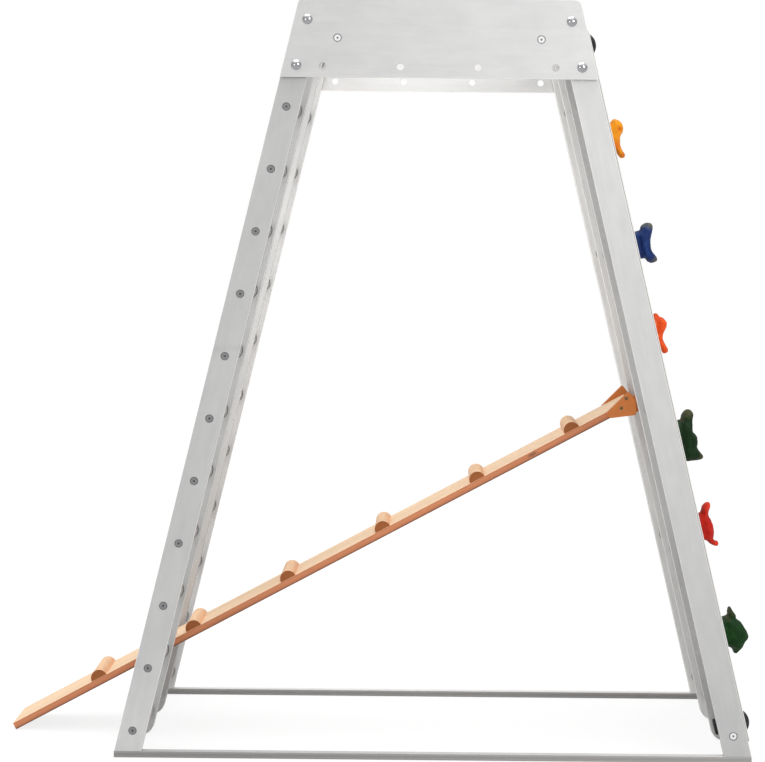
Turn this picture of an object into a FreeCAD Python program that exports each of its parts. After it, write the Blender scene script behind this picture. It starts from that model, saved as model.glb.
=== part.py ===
import FreeCAD, Part
import math
import os
import Sketcher

# Indoor climbing frame: a ladder leg and a climbing wall leg that lean towards each
# other, joined by top panels and floor runners, with a cleated ramp hooked on a bar.
# Origin on the floor at the centre of the base, X along the base (ladder leg at -X,
# wall leg at +X), Y across the four uprights of a leg ("near" is -Y, "far" is +Y),
# Z up.  Millimetres and degrees.  The export shifts everything along X.

Vector = FreeCAD.Vector
Placement = FreeCAD.Placement
Rotation = FreeCAD.Rotation
UP = Vector(0, 0, 1)
ALONG_Y = Vector(0, 1, 0)

doc = FreeCAD.newDocument("climbing_frame")

# ----------------------------------------------------------------------------
# Driving dimensions
# ----------------------------------------------------------------------------
DIMENSIONS = [
    # legs
    ("half_length", 754.0), ("frame_depth", 800.0), ("lean_angle", 13.3),
    ("upright_width", 63.0), ("upright_thick", 24.0), ("upright_pitch", 258.7),
    ("upright_top", 1785.0), ("inner_top", 1745.0), ("wall_inner_width", 57.0),
    ("edge_round", 2.0),
    # floor runners and the screws up through them
    ("runner_height", 15.0), ("runner_round", 1.5), ("runner_sink_margin", 1.4),
    ("foot_pilot", 26.0), ("foot_pilot_lead", 5.0), ("foot_screw_offset", 14.0),
    ("runner_screw_extra", 5.0),
    # round bars and their sockets; bar and rung heights are those of the axes
    ("rung_diameter", 36.0), ("socket_diameter", 36.1), ("socket_depth", 12.0),
    ("ladder_rung", 45.0), ("ladder_socket", 45.1),
    ("relief_depth", 2.5), ("relief_margin", 4.0),
    ("first_rung", 63.0), ("rung_pitch", 147.9), ("top_rung", 1692.0),
    ("bar_low", 440.0), ("bar_ramp", 814.0), ("bar_middle", 1187.0),
    ("bar_upper", 1561.0), ("bar_top", 1695.0),
    # top panels, their bolts and the two bars between them
    ("panel_thick", 15.0), ("panel_bottom", 1612.0), ("panel_height", 188.0),
    ("panel_corner_top", 17.0), ("panel_corner_low", 4.0), ("panel_round", 2.0),
    ("bolt_high", 1748.0), ("bolt_low", 1640.0), ("bolt_hole", 10.4),
    ("bolt_shank", 10.0), ("bolt_head", 24.6), ("bolt_dome", 5.6), ("bolt_spare", 16.0),
    ("top_bar_offset", 240.5), ("top_bar_height", 1705.0),
    ("hanger_hole", 17.0), ("hanger_inner", 91.7), ("hanger_outer", 275.0),
    ("hanger_height", 1638.0),
    # frame screws
    ("screw_hole", 8.2), ("screw_shank", 8.0), ("screw_head", 15.8),
    ("screw_sink", 19.4), ("screw_head_deep", 4.6), ("screw_long", 62.0),
    ("screw_inset", 0.9), ("pilot_hole", 8.1), ("pilot_deep", 52.0), ("pilot_lead", 2.0),
    # climbing wall, holds and their bolts and T-nuts
    ("wall_thick", 12.0), ("wall_width", 750.0), ("wall_low", 30.0),
    ("wall_long", 1734.0), ("wall_corner", 10.0),
    ("hold_bolt_hole", 10.4), ("hold_bolt_shank", 10.0), ("hold_column", 259.0),
    ("hold_first", 292.0), ("hold_pitch", 236.8),
    ("hold_seat", 12.0), ("hold_bolt_bore", 18.0), ("hold_bolt_spare", 8.0),
    ("nut_barrel", 12.0), ("nut_barrel_hole", 12.2), ("nut_barrel_long", 9.0),
    ("nut_flange", 26.0), ("nut_flange_thick", 1.5), ("thread_gap", 0.05),
    # wall clamp bolts and knobs
    ("clamp_hole", 10.4), ("clamp_shank", 10.0), ("clamp_head", 46.0),
    ("clamp_collar", 9.0), ("clamp_dome", 9.0),
    ("knob_diameter", 39.0), ("knob_thick", 13.0), ("knob_bore", 10.1),
    ("knob_bore_deep", 10.2), ("knob_round", 2.5), ("knob_gap", 0.05),
    ("knob_grip", 10.0), ("scallop_diameter", 11.0), ("scallop_offset", 3.5),
    # ramp
    ("board_thick", 18.0), ("board_width", 190.0), ("board_long", 1727.0),
    ("board_round", 2.0), ("ramp_angle", 28.2), ("ramp_foot", 1033.0),
    ("cleat_radius", 20.0), ("cleat_first", 241.5), ("cleat_pitch", 265.0),
    ("ear_thick", 18.0), ("ear_radius", 58.2), ("ear_round", 4.0),
    ("hook_thick", 6.0), ("hook_outer", 23.4), ("hook_mouth", 18.3),
    ("ramp_screw", 5.0), ("ramp_screw_head", 9.2), ("ramp_screw_head_deep", 2.4),
    ("ramp_screw_hole", 5.1), ("ramp_sink_deep", 2.6), ("ramp_sink_margin", 0.3),
    ("ramp_screw_inset", 0.2), ("cleat_screw_long", 30.0), ("ear_screw_long", 58.0),
    ("hook_screw_long", 17.6),
    # shift that brings the middle of frame and ramp together to the origin
    ("origin_shift", 138.15),
]
dims = doc.addObject("Spreadsheet::Sheet", "Dims")
for row, (alias, number) in enumerate(DIMENSIONS, start=1):
    dims.set("A%d" % row, alias)
    dims.set("B%d" % row, repr(number))
    dims.setAlias("B%d" % row, alias)
doc.recompute()


def value_of(expression):
    """Value of an expression over the sheet."""
    result = dims.evalExpression(str(expression))
    return float(getattr(result, "Value", result))


def dim(alias):
    return float(dims.get(alias))


# ----------------------------------------------------------------------------
# Sketches.  Every coordinate is an expression over the sheet.
# ----------------------------------------------------------------------------
def origin_feature(body, role):
    return [f for f in body.Origin.OriginFeatures if f.Role == role][0]


def new_body(label):
    body = doc.addObject("PartDesign::Body", label)
    body.Label = label
    return body


def new_sketch(body, name, plane="XZ_Plane", lift="0"):
    """Sketch on an origin plane, lifted along its normal (-Y for XZ_Plane)."""
    sketch = body.newObject("Sketcher::SketchObject", name)
    sketch.AttachmentSupport = [(origin_feature(body, plane), "")]
    sketch.MapMode = "FlatFace"
    sketch.AttachmentOffset = Placement(Vector(0, 0, value_of(lift)), Rotation())
    sketch.setExpression("AttachmentOffset.Base.z", lift)
    return sketch


def bound_constraint(sketch, expression, kind, *where):
    index = sketch.addConstraint(Sketcher.Constraint(kind, *where, value_of(expression)))
    sketch.setExpression("Constraints[%d]" % index, expression)


def fix_point(sketch, edge, end, x, y):
    """Ties a point to the sketch origin; a zero distance is tied to the axis."""
    for axis, kind, distance in ((-2, "DistanceX", x), (-1, "DistanceY", y)):
        if abs(value_of(distance)) < 1e-9:
            sketch.addConstraint(Sketcher.Constraint("PointOnObject", edge, end, axis))
        else:
            bound_constraint(sketch, distance, kind, -1, 1, edge, end)


def coincide(sketch, edge, end, other, other_end):
    sketch.addConstraint(Sketcher.Constraint("Coincident", edge, end, other, other_end))


def close_chain(sketch, edges):
    """Joins each edge's end to the next one's start."""
    for i, edge in enumerate(edges):
        coincide(sketch, edge, 2, edges[(i + 1) % len(edges)], 1)


def polygon(sketch, points):
    corners = [Vector(value_of(x), value_of(y), 0) for x, y in points]
    edges = [sketch.addGeometry(Part.LineSegment(a, b), False)
             for a, b in zip(corners, corners[1:] + corners[:1])]
    close_chain(sketch, edges)
    for edge, (x, y) in zip(edges, points):
        fix_point(sketch, edge, 1, x, y)


def rectangle(sketch, width, height):
    polygon(sketch, [("0", "0"), (width, "0"), (width, height), ("0", height)])


def circle_sketch(body, name, circles, plane="XZ_Plane", lift="0"):
    """Sketch of circles given as (x, y, diameter)."""
    sketch = new_sketch(body, name, plane, lift)
    for x, y, diameter in circles:
        centre = Vector(value_of(x), value_of(y), 0)
        edge = sketch.addGeometry(Part.Circle(centre, UP, value_of(diameter) / 2), False)
        fix_point(sketch, edge, 3, x, y)
        bound_constraint(sketch, diameter, "Diameter", edge)
    return sketch


# ----------------------------------------------------------------------------
# Features of a body
# ----------------------------------------------------------------------------
def pad(body, name, sketch, length):
    feature = body.newObject("PartDesign::Pad", name)
    feature.Profile = sketch
    feature.Length = value_of(length)
    feature.setExpression("Length", length)
    return feature


def round_edges(body, name, base, pick, radius):
    """Fillet of the edges of the base feature that satisfy pick(edge)."""
    doc.recompute()
    names = ["Edge%d" % (i + 1) for i, edge in enumerate(base.Shape.Edges) if pick(edge)]
    fillet = body.newObject("PartDesign::Fillet", name)
    fillet.Base = (base, names)
    fillet.Radius = value_of(radius)
    fillet.setExpression("Radius", radius)
    return fillet


def direction(edge):
    """Unit vector between the edge's ends, zero for a closed edge."""
    chord = edge.Vertexes[-1].Point.sub(edge.Vertexes[0].Point)
    return chord.normalize() if chord.Length > 1e-6 else Vector(0, 0, 0)


def current_volume(body):
    doc.recompute()
    return body.Shape.Volume


def require_cut(body, volume_before):
    if not current_volume(body) < volume_before - 1.0:
        raise RuntimeError("nothing was cut from " + body.Label)


def bore(body, name, sketch_name, circles, plane="XZ_Plane", lift="0", depth=None):
    """Pocket of circles, through the body unless a depth is given.  A cut that starts
    on the origin plane is reversed, so that it runs into the blank."""
    before = current_volume(body)
    sketch = circle_sketch(body, sketch_name, circles, plane, lift)
    pocket = body.newObject("PartDesign::Pocket", name)
    pocket.Profile = sketch
    pocket.Reversed = lift == "0"
    if depth is None:
        pocket.Type = "ThroughAll"
    else:
        pocket.Type = "Length"
        pocket.Length = value_of(depth)
        pocket.setExpression("Length", depth)
    require_cut(body, before)
    return pocket


def sunk_bore(body, name, sketch_name, places, diameter, sink, plane="XZ_Plane", lift="0"):
    """Countersunk through holes at (x, y) places, reversed as in bore()."""
    before = current_volume(body)
    circles = [(x, y, diameter) for x, y in places]
    sketch = circle_sketch(body, sketch_name, circles, plane, lift)
    doc.recompute()
    hole = body.newObject("PartDesign::Hole", name)
    hole.Profile = sketch
    doc.recompute()
    hole.Threaded = False
    hole.ThreadType = 0
    hole.Diameter = value_of(diameter)
    hole.setExpression("Diameter", diameter)
    hole.HoleCutType = 2
    hole.HoleCutDiameter = value_of(sink)
    hole.setExpression("HoleCutDiameter", sink)
    hole.HoleCutCountersinkAngle = 90.0
    hole.DepthType = 1
    hole.Reversed = lift == "0"
    require_cut(body, before)


# ----------------------------------------------------------------------------
# Primitives and booleans
# ----------------------------------------------------------------------------
def facing(base, axis):
    """Placement with its local z along the axis."""
    return Placement(base, Rotation(UP, axis))


def primitive(kind, name, placement, **sizes):
    """Part primitive whose sizes are expressions or numbers."""
    solid = doc.addObject(kind, name)
    for size, expression in sizes.items():
        solid.setExpression(size, str(expression))
    solid.Placement = placement
    return solid


def cylinder(name, radius, height, base, axis=UP):
    return primitive("Part::Cylinder", name, facing(base, axis), Radius=radius, Height=height)


def cone(name, low_radius, high_radius, height, base, axis=UP):
    return primitive("Part::Cone", name, facing(base, axis),
                     Radius1=low_radius, Radius2=high_radius, Height=height)


def box(name, length, width, height, placement):
    return primitive("Part::Box", name, placement, Length=length, Width=width, Height=height)


def hexagon(name, circumradius, height, bottom):
    prism = doc.addObject("Part::Prism", name)
    prism.Polygon = 6
    prism.Circumradius = circumradius
    prism.Height = height
    prism.Placement = Placement(Vector(0, 0, bottom), Rotation())
    return prism


def together(name, objects):
    compound = doc.addObject("Part::Compound", name)
    compound.Links = objects
    return compound


def fuse(name, objects):
    fusion = doc.addObject("Part::MultiFuse", name)
    fusion.Shapes = objects
    return fusion


def cut(name, base, tools):
    difference = doc.addObject("Part::Cut", name)
    difference.Base = base
    difference.Tool = tools[0] if len(tools) == 1 else together(name + "_tools", tools)
    return difference


EXPORT = []


def keep(item):
    EXPORT.append(item)
    return item


def keep_shape(label, shape):
    feature = doc.addObject("Part::Feature", label)
    feature.Shape = shape
    return keep(feature)


def copies(template, placements):
    doc.recompute()
    shapes = []
    for placement in placements:
        shape = template.Shape.copy()
        shape.Placement = placement
        shapes.append(shape)
    return shapes


def group(label, template, placements):
    """One sub-part holding separate copies of a template piece."""
    keep_shape(label, Part.makeCompound(copies(template, placements)))


# ----------------------------------------------------------------------------
# Leg frame.  Local x runs across the upright from its inner edge, local z up
# along the leg, local y is the model's Y.  The wall leg leans towards -X; the
# ladder leg is the same leg turned half a turn about Z.
# ----------------------------------------------------------------------------
LEAN = math.radians(dim("lean_angle"))
SIN_LEAN, COS_LEAN = math.sin(LEAN), math.cos(LEAN)
LEG_X = (dim("half_length") + math.tan(LEAN) * dim("runner_height")
         - dim("upright_width") / COS_LEAN)
WALL_NORMAL = Vector(COS_LEAN, 0, SIN_LEAN)

HALF = "(Dims.upright_width / 2)"
HALF_UPRIGHT = dim("upright_width") / 2
THICK = dim("upright_thick")
HALF_DEPTH = dim("frame_depth") / 2
PITCH = dim("upright_pitch")


def along_leg(height, across):
    """Expression: distance along the leg of the point at a height and offset across."""
    return ("((%s) - (%s) * sin(Dims.lean_angle)) / cos(Dims.lean_angle)"
            % (height, across))


def leg_distance(height, across=HALF_UPRIGHT):
    """The same distance as a number."""
    return (height - across * SIN_LEAN) / COS_LEAN


def leg_position(across, y, distance):
    """Model point of the wall leg's frame."""
    return Vector(LEG_X + across * COS_LEAN - distance * SIN_LEAN, y,
                  across * SIN_LEAN + distance * COS_LEAN)


def leg_placement(y, ladder, across=0.0, distance=0.0):
    placement = Placement(leg_position(across, y, distance),
                          Rotation(ALONG_Y, -dim("lean_angle")))
    if ladder:
        placement = Placement(Vector(0, 0, 0), Rotation(UP, 180)).multiply(placement)
    return placement


def leg_x(height, ladder=False, across=HALF_UPRIGHT):
    """Model X of a leg at a height, on its centre line unless told otherwise."""
    x = leg_position(across, 0, leg_distance(height, across)).x
    return -x if ladder else x


def foot_screws(ladder):
    """X of the two runner screws under a leg, where it meets the runner's top."""
    offset = dim("foot_screw_offset")
    return [leg_x(dim("runner_height"), ladder, HALF_UPRIGHT + shift)
            for shift in (-offset, offset)]


RUNGS = ["(Dims.first_rung + %d * Dims.rung_pitch)" % i for i in range(11)]
RUNG_HEIGHTS = [value_of(rung) for rung in RUNGS]
WALL_BARS = [("bottom", "Dims.first_rung"), ("low", "Dims.bar_low"),
             ("ramp", "Dims.bar_ramp"), ("middle", "Dims.bar_middle"),
             ("upper", "Dims.bar_upper"), ("top", "Dims.bar_top")]
BARS = [height for name, height in WALL_BARS]
PANEL_BOLTS = ["Dims.bolt_high", "Dims.bolt_low"]


# ----------------------------------------------------------------------------
# Uprights.  low_side is True for the ones on the -y side of the leg frame.
# ----------------------------------------------------------------------------
def bar_size(ladder):
    """Rungs of the ladder leg are thicker than the bars behind the wall."""
    return "Dims.ladder_socket" if ladder else "Dims.socket_diameter"


def leg_circles(heights, diameter):
    return [(HALF, along_leg(height, HALF), diameter) for height in heights]


def face_lift(low_face):
    """Sketch lift of an upright's -y face (low) or +y face."""
    return "Dims.upright_thick" if low_face else "0"


def cut_sockets(body, label, heights, size, low_face):
    """Blind bar sockets, each with a shallow wider step round its mouth."""
    lift = face_lift(low_face)
    bore(body, label + "_sockets", label + "_socket_sketch",
         leg_circles(heights, size), lift=lift, depth="Dims.socket_depth")
    bore(body, label + "_reliefs", label + "_relief_sketch",
         leg_circles(heights, size + " + Dims.relief_margin"),
         lift=lift, depth="Dims.relief_depth")


def outer_upright(label, low_side, ladder, sockets, screws):
    """Outer upright: stands on a runner, with sockets in its inner face, screw holes
    countersunk in its outer face and two bolt holes for the top panel."""
    body = new_body(label + "_body")
    sketch = new_sketch(body, label + "_outline")
    polygon(sketch, [
        ("0", along_leg("Dims.runner_height", "0")),
        ("Dims.upright_width", along_leg("Dims.runner_height", "Dims.upright_width")),
        ("Dims.upright_width", along_leg("Dims.upright_top", "Dims.upright_width")),
        ("0", along_leg("Dims.upright_top", "0")),
    ])
    blank = pad(body, label + "_blank", sketch, "Dims.upright_thick")
    round_edges(body, label + "_edges", blank, lambda e: e.Length > 500, "Dims.edge_round")
    cut_sockets(body, label, sockets, bar_size(ladder), not low_side)
    sunk_bore(body, label + "_screw_holes", label + "_screw_sketch",
              [(HALF, along_leg(height, HALF)) for height in screws],
              "Dims.screw_hole", "Dims.screw_sink", lift=face_lift(low_side))
    bore(body, label + "_bolt_holes", label + "_bolt_sketch",
         leg_circles(PANEL_BOLTS, "Dims.bolt_hole"), lift=face_lift(not low_side))
    body.Placement = leg_placement(-HALF_DEPTH + THICK if low_side else HALF_DEPTH, ladder)
    # vertical pilot holes in the foot for the screws through the runner
    middle = body.Placement.Base.y + (THICK / 2 if ladder else -THICK / 2)
    bottom = dim("runner_height") - dim("foot_pilot_lead")
    pilots = [cylinder("%s_pilot_%d" % (label, i), "Dims.ramp_screw_hole / 2",
                       "Dims.foot_pilot", Vector(x, middle, bottom))
              for i, x in enumerate(foot_screws(ladder))]
    keep(cut(label, body, pilots))


def stadium(sketch, width):
    """Outline of an inner upright: straight sides with half-round foot and top."""
    half = "(%s / 2)" % width
    low = along_leg(half, half)
    high = along_leg("Dims.inner_top - " + half, half)
    wide, radius, z_low, z_high = (value_of(e) for e in (width, half, low, high))

    def arc(z, start, end):
        rim = Part.Circle(Vector(wide / 2, z, 0), UP, radius)
        return sketch.addGeometry(Part.ArcOfCircle(rim, start, end), False)

    def side(x, z_start, z_end):
        line = Part.LineSegment(Vector(x, z_start, 0), Vector(x, z_end, 0))
        return sketch.addGeometry(line, False)

    left = side(0, z_low, z_high)
    top = arc(z_high, 0, math.pi)
    right = side(wide, z_high, z_low)
    foot = arc(z_low, math.pi, 2 * math.pi)
    coincide(sketch, left, 2, top, 2)
    coincide(sketch, top, 1, right, 1)
    coincide(sketch, right, 2, foot, 2)
    coincide(sketch, foot, 1, left, 1)
    for edge, z in ((top, high), (foot, low)):
        fix_point(sketch, edge, 3, half, z)
        bound_constraint(sketch, half, "Radius", edge)
        for end in (1, 2):
            sketch.addConstraint(Sketcher.Constraint("Horizontal", edge, 3, edge, end))


def inner_upright(label, low_side, ladder, width, sockets, through):
    """Inner upright: round foot on the floor, round top, blind sockets in the face
    towards the outer upright and through holes for the full-width bars."""
    body = new_body(label)
    sketch = new_sketch(body, label + "_outline")
    stadium(sketch, width)
    blank = pad(body, label + "_blank", sketch, "Dims.upright_thick")
    round_edges(body, label + "_edges", blank,
                lambda e: abs(direction(e).y) < 0.5, "Dims.edge_round")
    if sockets:
        cut_sockets(body, label, sockets, bar_size(ladder), low_side)
    bore(body, label + "_bar_holes", label + "_bar_sketch",
         leg_circles(through, bar_size(ladder)))
    y_low = -HALF_DEPTH + PITCH if low_side else HALF_DEPTH - PITCH - THICK
    body.Placement = leg_placement(y_low + THICK, ladder)
    keep(body)


# the ladder leg is turned half a turn, so near is its +y side
for side, wall_low_side in (("near", True), ("far", False)):
    outer_upright("ladder_upright_" + side, not wall_low_side, True,
                  RUNGS + ["Dims.top_rung"], RUNGS)
    inner_upright("ladder_upright_inner_" + side, not wall_low_side, True,
                  "Dims.upright_width", RUNGS[1:], ["Dims.first_rung", "Dims.top_rung"])
    outer_upright("wall_upright_" + side, wall_low_side, False, BARS, ["Dims.first_rung"])
    inner_upright("wall_upright_inner_" + side, wall_low_side, False,
                  "Dims.wall_inner_width", [], BARS)


# ----------------------------------------------------------------------------
# Floor runners: flat strips under the outer uprights
# ----------------------------------------------------------------------------
FOOT_SCREWS = foot_screws(True) + foot_screws(False)


def runner(label, y_low):
    body = new_body(label)
    sketch = new_sketch(body, label + "_outline", "XY_Plane")
    rectangle(sketch, "2 * Dims.half_length", "Dims.upright_thick")
    blank = pad(body, label + "_blank", sketch, "Dims.runner_height")
    round_edges(body, label + "_edges", blank,
                lambda e: e.Length > 500 and e.CenterOfMass.z > 1, "Dims.runner_round")
    # screw holes countersunk from below, two under each upright
    sunk_bore(body, label + "_screw_holes", label + "_screw_sketch",
              [("(Dims.half_length + (%r))" % x, "Dims.upright_thick / 2")
               for x in FOOT_SCREWS],
              "Dims.ramp_screw_hole", "Dims.ramp_screw_head + Dims.runner_sink_margin",
              plane="XY_Plane")
    body.Placement = Placement(Vector(-dim("half_length"), y_low, 0), Rotation())
    keep(body)


runner("floor_runner_near", -HALF_DEPTH)
runner("floor_runner_far", HALF_DEPTH - THICK)


# ----------------------------------------------------------------------------
# Round bars: ladder rungs, wall crossbars and the bars between the top panels
# ----------------------------------------------------------------------------
BAR_END = HALF_DEPTH - THICK + dim("socket_depth")   # |y| of a bar's end in its socket
FULL_BAR = "Dims.frame_depth - 2 * Dims.upright_thick + 2 * Dims.socket_depth"
BOTH_ENDS = (-BAR_END, BAR_END)
CLAMP_DRILL = 60.0                                   # length of the cross-drilling tool


def round_bar(name, diameter, length, start, pilot_ends=(), clamp_rows=()):
    """Bar along Y with screw pilots in the ends at the given y and, across it,
    clamp-bolt holes square to the wall."""
    rod = cylinder(name + "_rod", diameter + " / 2", length, start, ALONG_Y)
    tools = []
    for i, y in enumerate(pilot_ends):
        inward = 1 if y < 0 else -1
        mouth = Vector(start.x, y - dim("pilot_lead") * inward, start.z)
        tools.append(cylinder("%s_pilot_%d" % (name, i), "Dims.pilot_hole / 2",
                              "Dims.pilot_deep + Dims.pilot_lead",
                              mouth, Vector(0, inward, 0)))
    for i, y in enumerate(clamp_rows):
        base = Vector(start.x, y, start.z).sub(Vector(WALL_NORMAL).multiply(CLAMP_DRILL / 2))
        tools.append(cylinder("%s_clamp_hole_%d" % (name, i), "Dims.clamp_hole / 2",
                              CLAMP_DRILL, base, WALL_NORMAL))
    if tools:
        return cut(name, rod, tools)
    rod.Label = name
    return rod


def ladder_bar(name, height, y_start, length, pilot_ends=()):
    return round_bar(name, "Dims.ladder_rung", length,
                     Vector(leg_x(height, True), y_start, height), pilot_ends)


keep(ladder_bar("ladder_rung_bottom", RUNG_HEIGHTS[0], -BAR_END, FULL_BAR, BOTH_ENDS))
keep(ladder_bar("ladder_rung_top", dim("top_rung"), -BAR_END, FULL_BAR))
for side, y_start, y_pilot in (("near", -BAR_END, -BAR_END),
                               ("far", BAR_END - PITCH, BAR_END)):
    bay = [ladder_bar("short_rung_%s_%d" % (side, i), height, y_start,
                      "Dims.upright_pitch", (y_pilot,))
           for i, height in enumerate(RUNG_HEIGHTS[1:], start=1)]
    keep(together("ladder_rungs_%s_bay" % side, bay))

CLAMP_Y = -dim("hold_column")
for name, height in WALL_BARS:
    z = value_of(height)
    keep(round_bar("wall_crossbar_" + name, "Dims.rung_diameter", FULL_BAR,
                   Vector(leg_x(z), -BAR_END, z),
                   pilot_ends=BOTH_ENDS if name == "bottom" else (),
                   clamp_rows=(CLAMP_Y,) if name in ("bottom", "top") else ()))

for name, sign in (("left", -1), ("right", 1)):
    keep(round_bar("top_crossbar_" + name, "Dims.rung_diameter", "Dims.frame_depth",
                   Vector(sign * dim("top_bar_offset"), -HALF_DEPTH, dim("top_bar_height")),
                   pilot_ends=(-HALF_DEPTH, HALF_DEPTH)))


# ----------------------------------------------------------------------------
# Top panels: trapezoids on the outer faces of the outer uprights
# ----------------------------------------------------------------------------
PANEL_HALF = ("(Dims.half_length - tan(Dims.lean_angle)"
              " * (Dims.panel_bottom - Dims.runner_height))")
PANEL_INSET = "(tan(Dims.lean_angle) * Dims.panel_height)"


def panel_pair(offset, height):
    """Two places on a panel, either side of its middle, at a model height."""
    return [("%s %s %s" % (PANEL_HALF, sign, offset), height + " - Dims.panel_bottom")
            for sign in "-+"]


def top_panel(label, y_high, near):
    body = new_body(label)
    sketch = new_sketch(body, label + "_outline")
    polygon(sketch, [("0", "0"), ("2 * " + PANEL_HALF, "0"),
                     ("2 * %s - %s" % (PANEL_HALF, PANEL_INSET), "Dims.panel_height"),
                     (PANEL_INSET, "Dims.panel_height")])
    blank = pad(body, label + "_blank", sketch, "Dims.panel_thick")
    top = round_edges(body, label + "_corners", blank,
                      lambda e: abs(direction(e).y) > 0.9 and e.CenterOfMass.z > 100,
                      "Dims.panel_corner_top")
    low = round_edges(body, label + "_low_corners", top,
                      lambda e: abs(direction(e).y) > 0.9 and e.CenterOfMass.z < 10,
                      "Dims.panel_corner_low")
    round_edges(body, label + "_edges", low,
                lambda e: abs(direction(e).y) < 0.2, "Dims.panel_round")
    holes = []
    for height in PANEL_BOLTS:
        leg_axis = ("(Dims.half_length - tan(Dims.lean_angle) * (%s - Dims.runner_height)"
                    " - (Dims.upright_width / 2 / cos(Dims.lean_angle)))" % height)
        holes += [(x, y, "Dims.bolt_hole") for x, y in panel_pair(leg_axis, height)]
    for offset in ("Dims.hanger_inner", "Dims.hanger_outer"):
        holes += [(x, y, "Dims.hanger_hole")
                  for x, y in panel_pair(offset, "Dims.hanger_height")]
    bore(body, label + "_holes", label + "_bolt_sketch", holes)
    # countersunk from the outer face
    sunk_bore(body, label + "_screw_holes", label + "_screw_sketch",
              panel_pair("Dims.top_bar_offset", "Dims.top_bar_height"),
              "Dims.screw_hole", "Dims.screw_sink",
              lift="Dims.panel_thick" if near else "0")
    body.Placement = Placement(Vector(-value_of(PANEL_HALF), y_high, dim("panel_bottom")),
                               Rotation())
    keep(body)


PANEL_FACE = HALF_DEPTH + dim("panel_thick")         # |y| of a panel's outer face
top_panel("top_panel_near", -HALF_DEPTH, True)
top_panel("top_panel_far", PANEL_FACE, False)


# ----------------------------------------------------------------------------
# Climbing wall panel
# ----------------------------------------------------------------------------
# name, row (in hold pitches), shift up the wall from that row, width across the
# wall, column (-1 near, 1 far)
HOLDS = [
    ("hold_green", 0, -15.0, 84.0, -1), ("hold_red", 1, 1.0, 70.0, -1),
    ("hold_dark_green", 2, -30.0, 86.0, -1), ("hold_orange", 3, 0.0, 52.0, -1),
    ("hold_blue", 4, -31.0, 76.0, -1), ("hold_yellow", 5, -7.0, 56.0, -1),
    ("hold_far_red", 0.35, 0.0, 60.0, 1), ("hold_far_yellow", 1.7, 0.0, 54.0, 1),
    ("hold_far_blue", 2.75, 0.0, 60.0, 1), ("hold_far_orange", 3.55, 0.0, 52.0, 1),
]
WALL_FACE = dim("wall_inner_width") + dim("wall_thick")   # outer face, across the leg


def wall_panel():
    body = new_body("climbing_wall_panel")
    sketch = new_sketch(body, "wall_outline", "YZ_Plane")
    rectangle(sketch, "Dims.wall_width", "Dims.wall_long")
    blank = pad(body, "wall_blank", sketch, "Dims.wall_thick")
    corners = round_edges(body, "wall_corners", blank,
                          lambda e: abs(direction(e).x) > 0.9, "Dims.wall_corner")
    round_edges(body, "wall_edges", corners,
                lambda e: abs(direction(e).x) < 0.2 and e.CenterOfMass.x > 1,
                "Dims.edge_round")
    holes = []
    for name, row, shift, width, column in HOLDS:
        up = along_leg("Dims.hold_first + %r * Dims.hold_pitch" % row, HALF)
        holes.append(("Dims.wall_width / 2 + %d * Dims.hold_column" % column,
                      "%s + (%r) - Dims.wall_low" % (up, shift), "Dims.nut_barrel_hole"))
    for height in ("Dims.first_rung", "Dims.bar_top"):
        holes.append(("Dims.wall_width / 2 - Dims.hold_column",
                      along_leg(height, HALF) + " - Dims.wall_low", "Dims.clamp_hole"))
    bore(body, "wall_holes", "wall_hold_sketch", holes, plane="YZ_Plane")
    body.Placement = leg_placement(-dim("wall_width") / 2, False,
                                   dim("wall_inner_width"), dim("wall_low"))
    keep(body)


wall_panel()


# ----------------------------------------------------------------------------
# Holds
# ----------------------------------------------------------------------------
# Silhouettes as (out from the wall, up the wall); every far hold uses "hold_far"
OUTLINES = {
    "hold_yellow": [
        (0, 27), (8, 29), (17.5, 35), (26, 33.7), (34, 26), (38, 13.7), (35, 1),
        (28, -7.5), (24, -17.5), (22, -30), (24, -42.5), (27.5, -53.7),
        (24.5, -60), (17.5, -61), (12.5, -57.5), (7, -45), (0, -40)],
    "hold_blue": [
        (0, 4), (20, 3), (25, 11), (32.5, 16), (42.5, 17.5), (51, 14.5), (54.5, 7.5),
        (52.5, -2.5), (46, -16), (41, -30), (39, -44), (41, -56), (47.5, -70),
        (45, -79), (32.5, -81), (25, -77.5), (20, -71), (16, -66), (0, -66)],
    "hold_orange": [
        (0, 34), (4, 36), (9, 41), (14, 43), (19, 39), (22, 32.5), (29, 29),
        (34, 21), (36, 14), (33, 4), (26, -5), (21, -12.5), (19, -22.5),
        (21, -35), (25, -47.5), (24, -55), (16, -58), (10, -55), (6, -42.5), (0, -36)],
    "hold_dark_green": [
        (0, 24), (15, 22.5), (21, 32.5), (30, 40.5), (40, 42), (47.5, 36),
        (50, 27.5), (46, 17.5), (42.5, 5), (39.5, -12.5), (45, -22.5),
        (47, -30), (45, -42.5), (42, -55), (46, -65), (51, -75), (50, -81),
        (42, -84), (27, -83), (0, -80)],
    "hold_red": [
        (0, 34), (12.5, 36), (20, 49), (29, 55.5), (37.5, 56), (42, 51), (40, 42.5),
        (34, 32.5), (32, 22.5), (36, 10), (37.5, -1), (35.5, -20), (31, -35),
        (39, -41), (40.5, -46), (37.5, -52), (29, -50.5), (20, -44), (12.5, -34), (0, -31)],
    "hold_green": [
        (0, 22.5), (20, 21), (24, 31), (29, 39.5), (34, 39.5), (38, 30), (43, 17.5),
        (42, 10), (50, 0), (56, -12.5), (61, -31), (59, -41), (50, -49), (42.5, -59),
        (31, -69), (22.5, -73), (17, -69), (15, -59), (7.5, -52.5), (0, -52)],
    "hold_far": [
        (0, 36), (9, 37), (18, 34), (26, 27), (31, 16), (32, 2), (30, -12),
        (25, -24), (18, -33), (9, -38), (0, -38)],
}
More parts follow.
